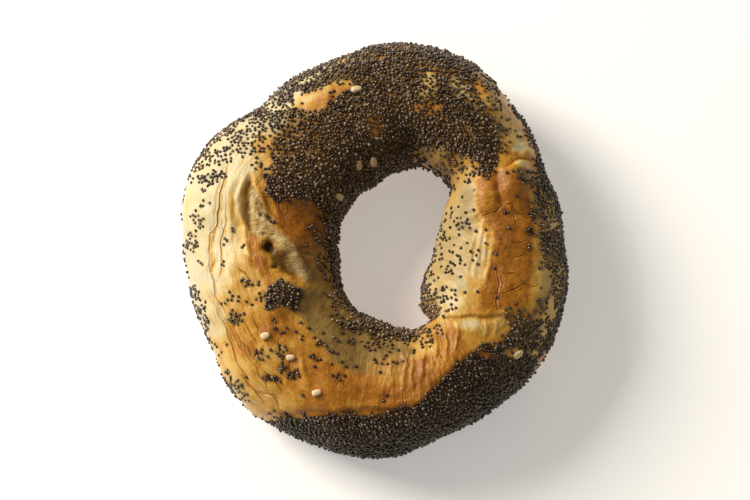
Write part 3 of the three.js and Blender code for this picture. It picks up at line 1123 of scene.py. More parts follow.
@dataclass(frozen=True)
class PoppyFinish:
    """The dimpled, faintly glossy coat of a poppy seed."""

    tone: SeedTone
    dimples: float = 5.2  # dimples for each millimetre
    roughness: tuple[float, float] = (0.22, 0.36)

    def material(self, mottle: OvenMottle) -> bpy.types.Material:
        """Makes the material.

        Args:
            mottle: The shared oven mottle.

        Returns:
            The material of one tone of poppy seed.
        """
        material, sketch, shader = new_material(f"poppy_{self.tone.name.lower()}")
        uneven = mottle.place(sketch, patch=1.6, grain=0.2, unevenness=0.8)
        tone = sketch.math("ADD", sketch.attribute("tone"), uneven.outputs["Tone"])
        low, high = self.tone.value
        where = sketch.object_place()
        cells = sketch.add("ShaderNodeTexVoronoi", {"Vector": where, "Scale": self.dimples / MM})
        sketch.feed(
            shader,
            {
                "Base Color": sketch.ramp(tone, ((0.0, low), (1.0, high))),
                "Roughness": sketch.between(uneven.outputs["Grain"], 0.3, 0.7, *self.roughness),
                "Normal": sketch.bump(cells.outputs["Distance"], 0.05, 0.6),
                "Specular IOR Level": 0.9,
            },
        )
        return material


@dataclass(frozen=True)
class SesameFinish:
    """The smooth cream coat of a toasted sesame seed."""

    pale: str = "f4dcb6"
    # darkest colour: toasting, and painted shade for seeds on the walls
    toasted_and_shaded: str = "b09a62"

    def material(self, mottle: OvenMottle) -> bpy.types.Material:
        """Makes the material.

        Args:
            mottle: The shared oven mottle.

        Returns:
            The sesame material.
        """
        material, sketch, shader = new_material("sesame_coat")
        uneven = mottle.place(sketch, patch=2.0, grain=0.25, unevenness=1.0)
        tone = sketch.math("ADD", sketch.attribute("tone"), uneven.outputs["Tone"])
        sketch.feed(
            shader,
            {
                "Base Color": sketch.ramp(tone, ((0.0, self.pale), (1.0, self.toasted_and_shaded))),
                "Roughness": 0.4,
                "Normal": sketch.bump(uneven.outputs["Grain"], 0.06, 0.5),
                "Subsurface Weight": 0.15,
                "Subsurface Radius": (1.0, 0.6, 0.3),
                "Subsurface Scale": 0.8 * MM,
            },
        )
        return material


@dataclass(frozen=True)
class TableFinish:
    """Plain pale table, lit a little from below like a light table."""

    colour: str = "f6f6f5"
    glow: float = 0.34

    def material(self) -> bpy.types.Material:
        """Makes the material.

        Returns:
            The material of the table.
        """
        material, sketch, shader = new_material("pale_table")
        plain = linear_colour(self.colour)
        tone = sketch.between(sketch.noise(sketch.object_place(), 30.0), 0.0, 1.0, 0.97, 1.0)
        sketch.feed(
            shader,
            {
                "Base Color": sketch.blend(1.0, plain, tone, "MULTIPLY"),
                "Roughness": 0.8,
                "Emission Color": plain,
                "Emission Strength": self.glow,
            },
        )
        return material


# ---------------------------------------------------------------- the dough's areas, in plan

FAR_FIELD: Plan = (
    *((-43, 29), (-39, 25.4), (-35, 23.6), (-32.2, 21), (-31, 17), (-30, 12), (-27.2, 9.7), (-20.8, 9.9)),
    *((-15.4, 9.7), (-13.4, 5), (-14.2, -2), (-13.4, -8), (-11, -12.6), (0, -10), (4, 12), (10, 24)),
    *((13.9, 26.6), (21.2, 26.7), (24, 22.6), (29.4, 17), (32.2, 15.6), (35.8, 20.1), (37.4, 26)),
    *((36.4, 31.4), (32.4, 35.6), (29.4, 42.2), (31, 47), (28, 62), (0, 66), (-32, 54)),
)
NEAR_FIELD: Plan = (
    *((-31.5, -49.4), (-27.3, -50.2), (-20, -50.1), (-8, -49.8), (3, -49.6), (10.2, -47.9), (13.6, -45.6)),
    *((18, -41.6), (21.1, -38.2), (24, -34.5), (28.8, -31), (34.4, -29.6), (38.8, -27), (43, -29)),
    *((46, -33), (44, -40), (30, -58), (0, -66), (-30, -60)),
)
CRUMB: Plan = (
    *((-35.3, 14.9), (-33.9, 15.9), (-32.9, 13.4), (-31.4, 10.2), (-30.4, 7.7), (-28.2, 3.9), (-25.3, 0)),
    *((-22.7, -2.8), (-20.4, -6.2), (-18.3, -8.8), (-16.9, -11.8), (-18.9, -13.1), (-21.9, -9.5)),
    *((-24.6, -6), (-27.0, -3.4), (-29.6, -0.6), (-30.6, 0.6), (-31.8, -0.9), (-33.0, 1.0)),
    *((-34.5, -0.4), (-35.5, 2.4), (-35.3, 4.5), (-35.4, 7.3), (-35.6, 10.7)),
)
CHANNEL: Plan = (
    *((-29.2, -4.9), (-27.2, -3.0), (-24.6, -5.6), (-22.1, -8.0)),
    *((-20.6, -10.8), (-22.5, -12), (-24.8, -10.6), (-27.7, -8.6)),
)
GOLD_SKIN: Plan = (
    *((-31.6, 19), (-30, 12.4), (-26, 9.8), (-15.4, 9.7), (-12.4, 4), (-13, -12), (-15.6, -14.6)),
    *((-18, -10), (-20.6, -5), (-24.4, 0), (-28, 5), (-30.2, 9.4)),
)
OLIVE_SLOPE: Plan = (
    *((-20.4, -15.4), (-15, -15), (-11, -20), (-4, -26), (7, -30), (12, -32), (10, -36), (3, -38.6)),
    *((-5, -38.6), (-11, -35.4), (-14.6, -30.6), (-17.6, -27), (-20.4, -22)),
)
CREAM_STRIP: Plan = (
    *((22.6, -23.6), (27, -23.4), (34, -22.8), (38, -23.4), (38.8, -26.6), (37.2, -28.8), (34, -28.6)),
    *((29.6, -27.6), (25.4, -26.8), (22.4, -26)),
)
CLUMP: Plan = (
    *((-30.2, -17.4), (-28.4, -14.2), (-26.0, -12.6), (-23.4, -14.4), (-19.9, -15.4), (-19.6, -17.9)),
    *((-20.1, -19.8), (-20.4, -21.8), (-21.6, -22.4), (-23.4, -21.0), (-25.0, -20.6), (-26.8, -21.0)),
    *((-28.5, -22.2), (-30.2, -21.4)),
)
LONE_SEEDS: Plan = (
    *((28.4, 13.1), (28.2, 7.0), (29.0, 5.6), (31.6, 1.9), (28.9, 1.6), (33.8, -5.3), (34.0, -9.2)),
    *((-20.3, -25.0), (-17.6, -26.4), (-14.9, -30.2), (-13.6, -31.2), (-12.2, -32.1), (-27.2, -24.6)),
    *((-47.4, 13.6), (-48.4, 10.6), (-47.2, 11.0), (-48.0, 8.8), (-42.6, 11.6), (-41.4, -12.8)),
)
# How thickly the poppy seeds lie, from bare to a full cover.
SEED_COVER = Paint(
    start=0.02,
    ragged=0.35,
    areas=(
        # walls and the rim under the widest part
        Patch(1.0, 105, -20, 50, 40, 0.25, 4.0),
        Patch(1.0, 105, 160, 52, 46, 0.2, 4.0),
        Patch(0.95, 185, 172, 36, 24, 0.2),
        Patch(0.75, 250, 160, 40, 22, 0.3),
        Patch(1.0, 278, -14, 44, 50, 0.2, 4.0),
        Patch(0.6, 310, 160, 24, 30, 0.3),
        Patch(0.3, 352, 150, 42, 30, 0.4),
        Patch(1.0, 4, 6, 46, 40, 0.3),
        Patch(0.95, 8, 42, 20, 14, 0.4),
        Patch(0.24, 214, 8, 26, 16, 0.4),
        Patch(0.8, 342, 24, 14, 16, 0.4),
        # the far field and what is bare in it
        Field(1.0, FAR_FIELD),
        Patch(0.9, 105, 34, 40, 20, 0.4),
        Patch(0.84, 147, 44, 9, 34, 0.4),
        Patch(0.66, 157, 26, 5, 18, 0.4),
        Spot(0.48, -37.6, 32.3, 3.2, 1.2, 40),
        Spot(0.3, -42.8, 27.6, 3.0, 1.4, 45),
        Spot(0.5, -29.8, 41.4, 3.4, 1.2, 36),
        Spot(0.6, -18.2, 46.4, 3.0, 0.9, 25),
        Spot(0.55, -11.0, 51.6, 3.4, 0.9, 26),
        Spot(0.8, 2.6, 52.8, 3.0, 0.9),
        Spot(0.55, -31.4, 24.8, 3.2, 3.4, 20),
        Spot(0.3, -29.0, 38.4, 3.0, 1.4, -30),
        Field(
            0.1,
            (
                *((-21.9, 42.1), (-19.4, 41.0), (-16.5, 41.5), (-12.7, 42.9), (-9.4, 44.1), (-6.8, 43.6)),
                *((-7.2, 41.6), (-12.0, 39.1), (-14.0, 36.4), (-16.6, 36.0), (-20.1, 36.6), (-23.2, 37.6)),
            ),
            2.2,
            0.6,
        ),
        Spot(0.55, -9.0, 42.8, 2.6, 1.3, 14),
        Spot(0.45, -21.6, 37.6, 2.6, 0.9, -10),
        Spot(0.3, -16.0, 37.2, 3.0, 0.9, 10),
        Spot(0.3, -24.6, 37.4, 1.6, 1.3, 12),
        Spot(0.5, 0.1, 31.8, 1.5, 3.0),
        Spot(0.55, 15.6, 36.4, 3.8, 1.7),
        Spot(0.84, 15.4, 44.0, 1.4, 4.0, -8),
        Spot(0.84, 24.4, 42.6, 1.2, 3.6, 42),
        Spot(0.1, 29.8, 47.0, 1.6, 0.9, -30),
        Spot(0.3, 16.6, 24.6, 5.0, 1.9, -10),
        Spot(0.55, 25.6, 20.4, 4.6, 2.6, -30),
        Spot(0.7, 32.8, 44.4, 4.0, 3.4, -40),
        Spot(0.6, 33.8, 38.6, 2.4, 4.8, 36),
        Spot(0.36, 38.4, 33.6, 1.7, 4.2, 30),
        Spot(0.15, 41.0, 28.6, 1.3, 2.4, 20),
        Spot(0.04, 41.6, 25.6, 3.2, 2.6, -10),
        Spot(0.25, 38.4, 21.6, 2.4, 1.0, 10),
        Spot(0.3, -29.6, 20.4, 1.4, 3.0, 12),
        # left side
        Spot(1.0, -45.6, 16.8, 3.9, 1.9, 5),
        Spot(0.35, -48.6, 12.2, 2.6, 2.4),
        Spot(0.7, -49.2, 5.4, 1.8, 3.6, 8),
        Spot(0.75, -51.2, -0.4, 1.9, 2.6),
        Spot(0.45, -49.0, -6.2, 2.4, 1.2, -40),
        Spot(0.55, -42.0, -7.3, 1.1, 1.4),
        Spot(0.9, -39.2, 1.7, 0.6, 1.5),
        Spot(0.8, -41.4, -1.8, 0.7, 1.2),
        Spot(0.7, -36.4, -3.7, 1.3, 0.5),
        Spot(0.85, -34.5, -13.8, 2.8, 1.6, -8),
        Spot(0.5, -39.8, -17.8, 2.4, 1.8),
        Spot(0.5, -32.8, -18.4, 2.4, 1.7),
        Spot(1.0, -37.7, -23.2, 3.0, 1.9, -20),
        Field(1.0, CLUMP, 1.6),
        Spot(0.45, -27.4, -26.4, 3.4, 3.0),
        Spot(0.4, -24.6, -34.6, 4.0, 2.2, -20),
        Spot(0.85, -31.4, -33.4, 2.6, 1.3, -25),
        Spot(0.7, -25.2, -32.6, 1.3, 1.7, -10),
        Spot(0.5, -21.6, -27.8, 2.4, 1.4, -30),
        Spot(0.4, -20.0, -31.2, 1.2, 1.6),
        Spot(0.9, -25.2, -37.5, 1.6, 1.1),
        Spot(1.0, -27.6, -40.2, 2.9, 0.9, -5),
        Spot(1.0, -22.2, -39.2, 2.4, 1.1, 10),
        Spot(0.62, -48.2, -18.8, 1.6, 6.6, 25),
        Spot(0.62, -37.2, -41.2, 1.4, 5.6, 40),
        Spot(0.55, -15.2, -34.9, 1.9, 1.3, -10),
        Spot(0.5, -15.4, -42.6, 1.3, 0.9),
        Spot(0.4, -33.8, 12.0, 0.6, 1.2),
        Spot(0.9, -28.0, 3.6, 0.6, 1.6, 50),
        Spot(0.6, -16.2, 2.0, 1.5, 3.4, 10),
        Spot(0.1, -17.0, -6.0, 2.0, 4.0, 12),
        # near side
        Spot(0.75, -10.2, -17.6, 3.0, 3.2),
        Spot(0.5, -14.0, -9.0, 2.0, 5.0, 16),
        Spot(0.6, -8.7, -25.0, 1.6, 1.6),
        Spot(0.35, -18.6, -26.0, 2.4, 0.9, -25),
        Spot(0.55, -14.6, -30.6, 1.8, 1.2, -30),
        Spot(0.3, -10.9, -33.6, 1.8, 0.9, -30),
        Spot(0.95, 3.0, -26.4, 12.0, 2.8, -12),
        Spot(0.5, 0.0, -31.0, 12.0, 1.8, -12),
        Spot(0.42, 3.8, -34.4, 5.6, 2.0, -6),
        Spot(0.17, -9.5, -38.0, 6.0, 3.6),
        Spot(0.65, 16.0, -27.4, 3.6, 2.4, 20),
        Spot(0.2, 15.4, -33.0, 4.0, 2.4, 20),
        Spot(0.2, 9.4, -34.2, 4.4, 2.2),
        Field(1.0, NEAR_FIELD),
        Spot(0.35, 31.4, -33.2, 3.2, 0.9, -8),
        Spot(0.3, 38.8, -32.6, 2.6, 1.0, 10),
        Field(
            0.95,
            (
                *((37.6, -22), (40.4, -20), (44, -21.6), (47.4, -24)),
                *((48.4, -28), (46.6, -31.6), (41.6, -30.4), (38.6, -27.4)),
            ),
            2.0,
        ),
        Spot(0.25, 42.4, -21.0, 1.3, 1.2),
        # right side
        Spot(0.8, 17.6, -17.4, 2.6, 4.6, -20),
        Spot(0.6, 21.6, -18.2, 3.6, 3.6),
        Spot(0.5, 21.6, -22.2, 2.2, 1.3),
        Spot(0.85, 47.2, -19.2, 2.0, 3.0),
        Spot(0.6, 47.9, -24.4, 1.2, 2.4),
        Spot(0.04, 50.4, -20.2, 1.2, 2.8, 6),
        Spot(0.1, 48.8, -26.2, 0.7, 2.6, -20),
        Spot(0.02, 46.8, -34.7, 0.8, 5.4, -37),
        Spot(0.5, 37.6, -22.0, 2.6, 1.4),
        Spot(1.0, 49.6, -1.8, 3.2, 5.6),
        Spot(0.8, 50.4, 6.4, 2.6, 4.6),
        Spot(0.85, 42.0, 17.2, 4.2, 2.6, -20),
        Spot(0.75, 45.6, 7.4, 2.5, 3.8),
        Spot(0.85, 43.6, 1.6, 1.5, 0.9, -25),
        Spot(0.7, 43.0, -2.2, 1.4, 1.1),
        Spot(0.04, 48.0, -13.0, 1.4, 3.2),
        Spot(0.85, 25.6, 4.6, 2.2, 2.4),
        Spot(0.4, 27.0, 17.2, 3.6, 1.6, -30),
        Spot(0.01, 37.0, -9.0, 5.0, 7.0),
        Spot(0.01, 36.0, 12.0, 4.4, 2.6),
        Spot(0.9, 36.8, 6.6, 0.9, 0.5, 20),
        Spot(0.7, 34.0, 4.2, 0.6, 0.5),
        *(Spot(0.9, x, y, 0.6, 0.6) for x, y in LONE_SEEDS),
        Spot(0.5, 36.0, 28.0, 1.6, 1.2),
        Spot(0.5, 38.4, 28.4, 0.9, 1.6),
        Patch(0.02, 319, 3, 7, 8, 0.3),
        # underside, where it rests
        Patch(0.03, 0, 270, 400, 44, 0.2),
    ),
)
# How much the crust darkens under a full cover of seeds: partly browning, partly painted shade between the
# seeds.
STAIN_AND_SHADE = Paint(
    start=0.9,
    areas=(
        Field(1.0, NEAR_FIELD, 3.0, 0.6),
        Spot(0.6, -21.0, 27.0, 9.0, 8.0, 0, 0.6),
        Spot(0.2, 25.6, 4.6, 4.0, 4.4),
        Patch(0.1, 144, 34, 14, 38, 0.4),
        Patch(0.35, 105, 26, 30, 18, 0.5),
        Patch(0.12, 190, 46, 34, 50, 0.3),
        Field(1.0, CLUMP, 1.6),
        Patch(0.35, 6, 30, 46, 26, 0.4),
        Field(0.08, ((28, 46), (36, 38), (43, 28), (44, 20), (38, 20), (36, 28), (30, 38)), 3.0),
        Spot(0.25, 15.4, 44.0, 2.6, 6.4, -8, 0.6),
        Spot(0.25, 24.4, 42.6, 2.2, 5.6, 42, 0.6),
        Spot(0.1, 0.1, 31.8, 2.2, 3.4),
        Spot(0.1, 16.8, 36.2, 3.6, 1.6),
        Field(0.6, ((38, -22), (44, -21), (48, -26), (46, -31), (40, -28)), 2.0),
        Spot(0.25, -29.4, -48.0, 4.6, 2.4, -32),
    ),
)
# Painted light and shade on the poppy seeds: how pale the palest of them are, lower on the near side and the
# outer walls, higher on some inner walls and the far wall.
SEED_LIGHT_AND_SHADE = Paint(
    start=1.0,
    areas=(
        Field(0.6, NEAR_FIELD, 3.0, 0.6),
        Patch(0.45, 250, 10, 26, 40, 0.5),
        Patch(0.7, 8, 20, 46, 50, 0.4),
        Patch(2.0, 262, 140, 50, 40, 0.4),
        Patch(1.3, 140, 150, 40, 40, 0.4),
        Patch(1.3, 110, 12, 50, 24, 0.5),
    ),
)
# How dark the crust baked; the pale spot on the far shelf is painted light.
BAKE = Paint(
    start=0.42,
    areas=(
        # left side: pale outer slope, golden crown, caramel inner skin
        Patch(0.04, 188, 12, 52, 44, 0.35),
        Patch(0.11, 165, 52, 20, 32, 0.3),
        Patch(0.28, 224, 26, 16, 30, 0.4),
        Spot(0.15, -37.6, 14.0, 2.6, 8.0, 4),
        Spot(0.34, -39.3, 7.4, 0.8, 4.6, 0),
        Field(
            0.44,
            ((-35.4, 15.4), (-36.7, 12.0), (-36.8, 8), (-36.2, 3), (-35.0, 3), (-34.8, 8), (-34.4, 12)),
            1.4,
            0.6,
        ),
        Spot(0.12, -42.4, -6.0, 4.4, 9.0),
        Spot(0.22, -37.0, -5.0, 3.0, 6.0),
        Spot(0.34, -33.8, -11.4, 4.0, 5.6, 20),
        Spot(0.6, -30.6, -9.6, 1.5, 4.8, 24),
        Spot(0.5, -34.2, -8.0, 0.8, 2.4, 40),
        Spot(0.34, -35.4, -20.0, 6.0, 4.0, -10),
        Spot(0.44, -33.6, -28.0, 7.0, 7.0, 35),
        Spot(0.14, -45.0, -20.0, 2.6, 8.0, 25),
        Spot(0.5, -33.4, -1.8, 1.9, 3.8, 12),
        Spot(0.36, -28.6, -39.0, 7.0, 7.0, 40),
        Spot(0.56, -25.6, -26.4, 5.0, 4.2, 20),
        Spot(0.54, -33.6, -31.0, 0.9, 3.4, 40),
        Spot(0.36, -29.4, -46.8, 5.2, 3.0, -35, 0.6),
        Spot(0.48, -18.0, -39.0, 8.0, 7.0),
        Field(0.7, GOLD_SKIN, 2.0, 0.4),
        Spot(0.4, -29.0, 10.4, 1.1, 6.0, 22),
        # near side
        Field(
            0.56,
            ((-16, -36), (0, -37), (16, -29), (24, -26.4), (27, -31), (20, -38), (12, -46), (-20, -48.6)),
            3.0,
        ),
        Field(
            0.6,
            (
                *((-26, -48.2), (0, -47.4), (10, -45), (20, -36.6)),
                *((26, -30.6), (26, -36), (10, -50), (-26, -50)),
            ),
            2.6,
            0.5,
        ),
        Spot(0.64, 7.0, -42.4, 15.0, 4.0, 4),
        Spot(0.3, 11.4, -32.6, 7.0, 2.6, 8),
        Spot(0.45, 4.4, -38.6, 6.6, 4.0, 4, 0.7),
        Field(0.34, CREAM_STRIP, 2.0, 0.5),
        Spot(0.12, 27.0, -24.9, 2.9, 1.5, 5, 0.9),
        Spot(0.2, 22.0, -18.6, 5.0, 4.4, -10, 0.8),
        # right side
        Patch(0.14, 349, 144, 50, 36, 0.25),
        Field(
            0.62,
            (
                *((29, 16), (36, 18.6), (43, 16), (45, 0), (43, -20), (29, -21.4)),
                *((30.2, -15), (33.8, -7), (34.2, 0), (29.6, 8)),
            ),
            2.0,
            0.4,
        ),
        Spot(0.16, 28.6, -3.0, 3.2, 8.0),
        Spot(0.16, 26.4, 10.0, 3.0, 6.6),
        Spot(0.52, 31.6, 11.5, 2.6, 4.4),
        Spot(0.6, 38.6, -13.0, 4.0, 2.0),
        Spot(0.6, 39.4, 13.6, 3.6, 3.6),
        Spot(0.72, 37.0, 0.0, 3.4, 5.0),
        Spot(0.5, 46.8, -34.7, 1.6, 5.8, -37),
        Patch(0.3, 345, 28, 42, 28, 0.4),
        Spot(0.28, 48.0, -13.0, 1.6, 3.6),
        Spot(0.56, 31.4, -33.2, 3.6, 1.4, -8),
        # far side
        Spot(0.33, 36.8, 33.4, 3.6, 9.6, 34),
        Spot(0.24, 40.6, 29.4, 1.2, 3.6, 30),
        # painted light: the far shelf is drawn pale, though it faces away from the lamp
        Spot(0.14, 41.8, 25.2, 2.6, 1.6, -20),
        Spot(0.36, 37.6, 27.0, 2.0, 2.4, -20),
        Spot(0.2, 41.6, 20.6, 2.4, 0.8, -10),
        Spot(0.4, 43.6, 23.4, 1.4, 1.6, 10),
        Spot(0.44, 38.4, 22.4, 3.4, 1.6, 20),
        Spot(0.57, -20.0, 38.6, 7.4, 3.4, 12),
        Spot(0.56, -12.0, 40.6, 5.0, 2.6, 14),
        Spot(0.3, -26.0, 38.2, 3.0, 2.0, 12),
        Spot(0.34, -17.4, 39.6, 2.6, 1.0, 20),
        Spot(0.5, 0.1, 31.8, 2.6, 4.4),
        Spot(0.58, 16.8, 36.2, 4.4, 2.0),
        Spot(0.24, 15.6, 43.0, 2.4, 4.6),
        Spot(0.2, 24.4, 42.0, 2.0, 4.4, 42),
        Spot(0.32, 16.6, 24.2, 6.0, 3.0, -10),
        Patch(0.08, 135, 26, 32, 44, 0.4),
        Spot(0.36, -31.0, 25.0, 3.0, 3.4, 20),
        Patch(0.5, 319, 4, 9, 11, 0.4),
        # underside, browned by the tray
        Patch(0.66, 0, 270, 400, 46, 0.3),
        Patch(0.8, 62, 268, 28, 20, 0.8),
        Patch(0.54, 128, 280, 22, 16, 0.7),
        Patch(0.84, 196, 264, 34, 18, 0.8),
        Patch(0.56, 250, 252, 16, 12, 0.7),
        Patch(0.8, 312, 274, 30, 20, 0.8),
    ),
)
# Where the skin stayed unbaked, in an olive colour that is partly its own and partly painted shade on the
# hole's walls and the inner slopes.
RAW_AND_SHADE = Paint(
    areas=(
        Patch(0.6, 352, 150, 44, 40, 0.3),
        Patch(0.65, 60, 150, 24, 38, 0.3),
        Patch(0.8, 240, 150, 50, 34, 0.3),
        Field(0.85, OLIVE_SLOPE, 3.0),
        Spot(0.3, 5.0, -37.0, 6.4, 3.0, 4, 0.7),
        Spot(0.3, 48.2, -13.4, 1.6, 3.4),
        Spot(0.0, 30.0, 12.0, 3.0, 5.0),
        Spot(0.45, 26.0, 9.6, 2.4, 6.4),
        Spot(0.3, 29.4, -4.0, 1.6, 8.0),
    )
)
TORN = Paint(areas=(Field(1.0, CRUMB, 2.0, 0.5),), ragged=0.5)
# Painted shade: hollows, the pit, the channel and slopes turned from the lamp are drawn darker.
PAINTED_SHADE = Paint(
    ragged=0.2,
    areas=(
        Spot(0.34, -35.2, 9.2, 0.6, 6.0, 2, 0.6),
        Spot(0.3, 26.2, 10.0, 2.6, 6.4, 0, 0.7),
        Spot(0.55, -19.6, -8.4, 4.4, 1.9, -57, 0.6),
        Field(0.75, CHANNEL, 1.6, 0.5),
        Field(0.42, OLIVE_SLOPE, 3.0, 0.5),
        Spot(0.08, 5.0, -36.6, 7.0, 3.4, 4, 0.7),
        Field(1.0, ((-29.4, -1.6), (-27.6, -2.4), (-27.2, -5.3), (-28.8, -5.2), (-31.0, -3.8)), 0.9, 0.3),
        Spot(0.9, -28.6, 4.6, 0.6, 1.8, 50.0),
        Spot(0.7, -31.2, 5.6, 0.4, 0.7, 40.0),
        Spot(0.7, -30.2, 0.4, 0.7, 0.4),
        Spot(0.8, -27.2, -9.4, 1.0, 0.4),
    ),
)


# ---------------------------------------------------------------- the dough


@dataclass
class Dough:
    """The ring of dough: its skin mesh and the baked finish on it."""

    form: RingForm
    around_steps: int = 640
    over_steps: int = 156
    crown_bias: float = 0.42  # radians by which the steps crowd towards the crown
    full_cover: tuple[float, float] = (0.6, 1.0)  # seed covers over which the stain and the painted shade between seeds come in
    stain_and_shade: float = 0.9

    def build(self) -> bpy.types.Object:
        """Builds the skin.

        Returns:
            The dough as one closed mesh that carries what its finish reads.
        """
        turns = 2 * np.pi * np.arange(self.over_steps) / self.over_steps - np.pi / 2
        over_row = turns + self.crown_bias * np.cos(turns)
        around_row = 2 * np.pi * np.arange(self.around_steps) / self.around_steps
        around, over = (a.ravel() for a in np.meshgrid(around_row, over_row, indexing="ij"))
        points = self.form.crust(around, over)
        self.points = points.reshape(self.around_steps, self.over_steps, 3)
        faces = self.faces()
        mesh = bpy.data.meshes.new("dough")
        mesh.from_pydata((points * MM).tolist(), [], faces.tolist())
        mesh.shade_smooth()
        places = self.form.places(around, over)
        self.paint(mesh, places)
        skin = places.skin()[faces]
        last_row = faces[:, 0] % self.over_steps == self.over_steps - 1
        skin[last_row, 2:, 2] += 2 * np.pi * SKIN_SPAN
        carried = mesh.attributes.new("skin", "FLOAT_VECTOR", "CORNER")
        carried.data.foreach_set("vector", skin.astype(np.float32).ravel())
        return put_in_scene("dough", mesh)

    def faces(self) -> Array:
        """Joins the skin's corners to quads.

        Returns:
            Four corner numbers for each quad.
        """
        i, j = np.meshgrid(np.arange(self.around_steps), np.arange(self.over_steps), indexing="ij")
        next_i, next_j = (i + 1) % self.around_steps, (j + 1) % self.over_steps
        corners = ((i, j), (next_i, j), (next_i, next_j), (i, next_j))
        return np.stack([a * self.over_steps + b for a, b in corners], axis=-1).reshape(-1, 4)

    def paint(self, mesh: bpy.types.Mesh, places: Places) -> None:
        """Writes what the finish reads onto the mesh.

        Args:
            mesh: The skin.
            places: The place of each corner.
        """
        noise = self.form.noise
        paints = {
            "bake": BAKE,
            "raw_and_shade": RAW_AND_SHADE,
            "torn": TORN,
            "shade": PAINTED_SHADE,
            "radial": RADIAL_WRINKLES,
            "long": LONG_WRINKLES,
        }
        for name, coat in paints.items():
            carry(mesh, name, coat.at(places, noise))
        covered = smooth_step(SEED_COVER.at(places, noise), *self.full_cover)
        carry(mesh, "stain_and_shade", self.stain_and_shade * covered * STAIN_AND_SHADE.at(places, noise))
        carry(mesh, "groove", self.groove(places))
        side, depth = self.form.crease_lines(places.points)
        carry(mesh, "crease_side", side)
        carry(mesh, "crease_depth", depth * (1 - places.lowness()))

    def groove(self, places: Places, steps: int = 3, deep: float = 0.5) -> Array:
        """How far each corner lies below the crust around it.

        Args:
            places: The place of each corner.
            steps: How many rows of the skin away the crust around it is measured.
            deep: Depth that counts as 1, in millimetres.

        Returns:
            From 0 to 1 for each corner.
        """
        lift = self.points.reshape(-1, 3) - places.points
        height = np.einsum("ij,ij->i", lift, self.form.facing(places.around, places.over))
        grid = height.reshape(self.around_steps, self.over_steps)
        offsets = (-steps, 0, steps)
        near = sum(np.roll(grid, (a, b), (0, 1)) for a in offsets for b in offsets) / len(offsets) ** 2
        return np.clip((near - grid).ravel() / deep, 0, 1)

    def scorch(self, dough: bpy.types.Object, seeds: Array, reach: float = 0.85) -> None:
        """Marks the skin that browns round each seed.

        Args:
            dough: The skin.
            seeds: Middle of each seed, in millimetres.
            reach: Distance over which the mark fades.
        """
        tree = kdtree.KDTree(len(seeds))
        for number, seed in enumerate(seeds.tolist()):
            tree.insert(seed, number)
        tree.balance()
        distance = np.array([tree.find(point)[2] for point in self.points.reshape(-1, 3).tolist()])
        carry(dough.data, "halo", bell(distance, reach))

    def dress(self, dough: bpy.types.Object, mottle: OvenMottle) -> None:
        """Gives the skin its finish and its place in the frame.

        Args:
            dough: The skin.
            mottle: The shared oven mottle.
        """
        dough.data.materials.append(CrustFinish().material(mottle))
        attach(dough, BODY)
        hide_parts(NODE)

    def lay(self, around: Array, over: Array) -> tuple[Array, Array]:
        """Points on the skin at pairs of angles in radians, and the directions that it faces there."""
        return self.form.crust(around, over), outward(self.form.crust, around, over, step=0.012)


# ---------------------------------------------------------------- seeds


def joined_seeds(
    name: str, shape: Array, faces: Array, frames: Array, places: Array, tones: Array
) -> bpy.types.Object:
    """Joins copies of one seed into a mesh.

    Args:
        name: Name of the piece.
        shape: Corners of one seed, in millimetres.
        faces: Triangles of one seed.
        frames: For each seed, its three axes as columns, scaled.
        places: Middle of each seed, in millimetres.
        tones: Value from 0 to 1 that sets each seed's colour.

    Returns:
        The joined mesh as an object.
    """
    corners = np.einsum("sij,vj->svi", frames, shape) + places[:, None, :]
    count, size = len(places), len(shape)
    triangles = (faces[None] + size * np.arange(count)[:, None, None]).reshape(-1, 3)
    mesh = bpy.data.meshes.new(name)
    mesh.vertices.add(count * size)
    mesh.vertices.foreach_set("co", (corners * MM).astype(np.float32).ravel())
    mesh.loops.add(len(triangles) * 3)
    mesh.loops.foreach_set("vertex_index", triangles.astype(np.int32).ravel())
    mesh.polygons.add(len(triangles))
    mesh.polygons.foreach_set("loop_start", np.arange(0, len(triangles) * 3, 3, dtype=np.int32))
    mesh.update(calc_edges=True)
    mesh.shade_smooth()
    carry(mesh, "tone", np.repeat(tones, size))
    return put_in_scene(name, mesh)


def ball(segments: int, rings: int) -> tuple[Array, Array]:
    """A unit ball of triangles.

    Args:
        segments: Corners round it.
        rings: Bands from pole to pole.

    Returns:
        Corners and triangles.
    """
    corners = [(0.0, 0.0, 1.0)]
    for ring in range(1, rings):
        tilt = math.pi * ring / rings
        for k in range(segments):
            turn = 2 * math.pi * (k + 0.5 * (ring % 2)) / segments
            out = math.sin(tilt)
            corners.append((out * math.cos(turn), out * math.sin(turn), math.cos(tilt)))
    corners.append((0.0, 0.0, -1.0))
    last = len(corners) - 1
    triangles = []
    for k in range(segments):
        n = (k + 1) % segments
        triangles.append((0, 1 + k, 1 + n))
        triangles.append((last, last - segments + n, last - segments + k))
        for ring in range(rings - 2):
            a, b = 1 + ring * segments, 1 + (ring + 1) * segments
            if ring % 2:
                triangles += [(a + k, b + k, b + n), (a + k, b + n, a + n)]
            else:
                triangles += [(a + k, b + k, a + n), (a + n, b + k, b + n)]
    return np.array(corners), np.array(triangles)


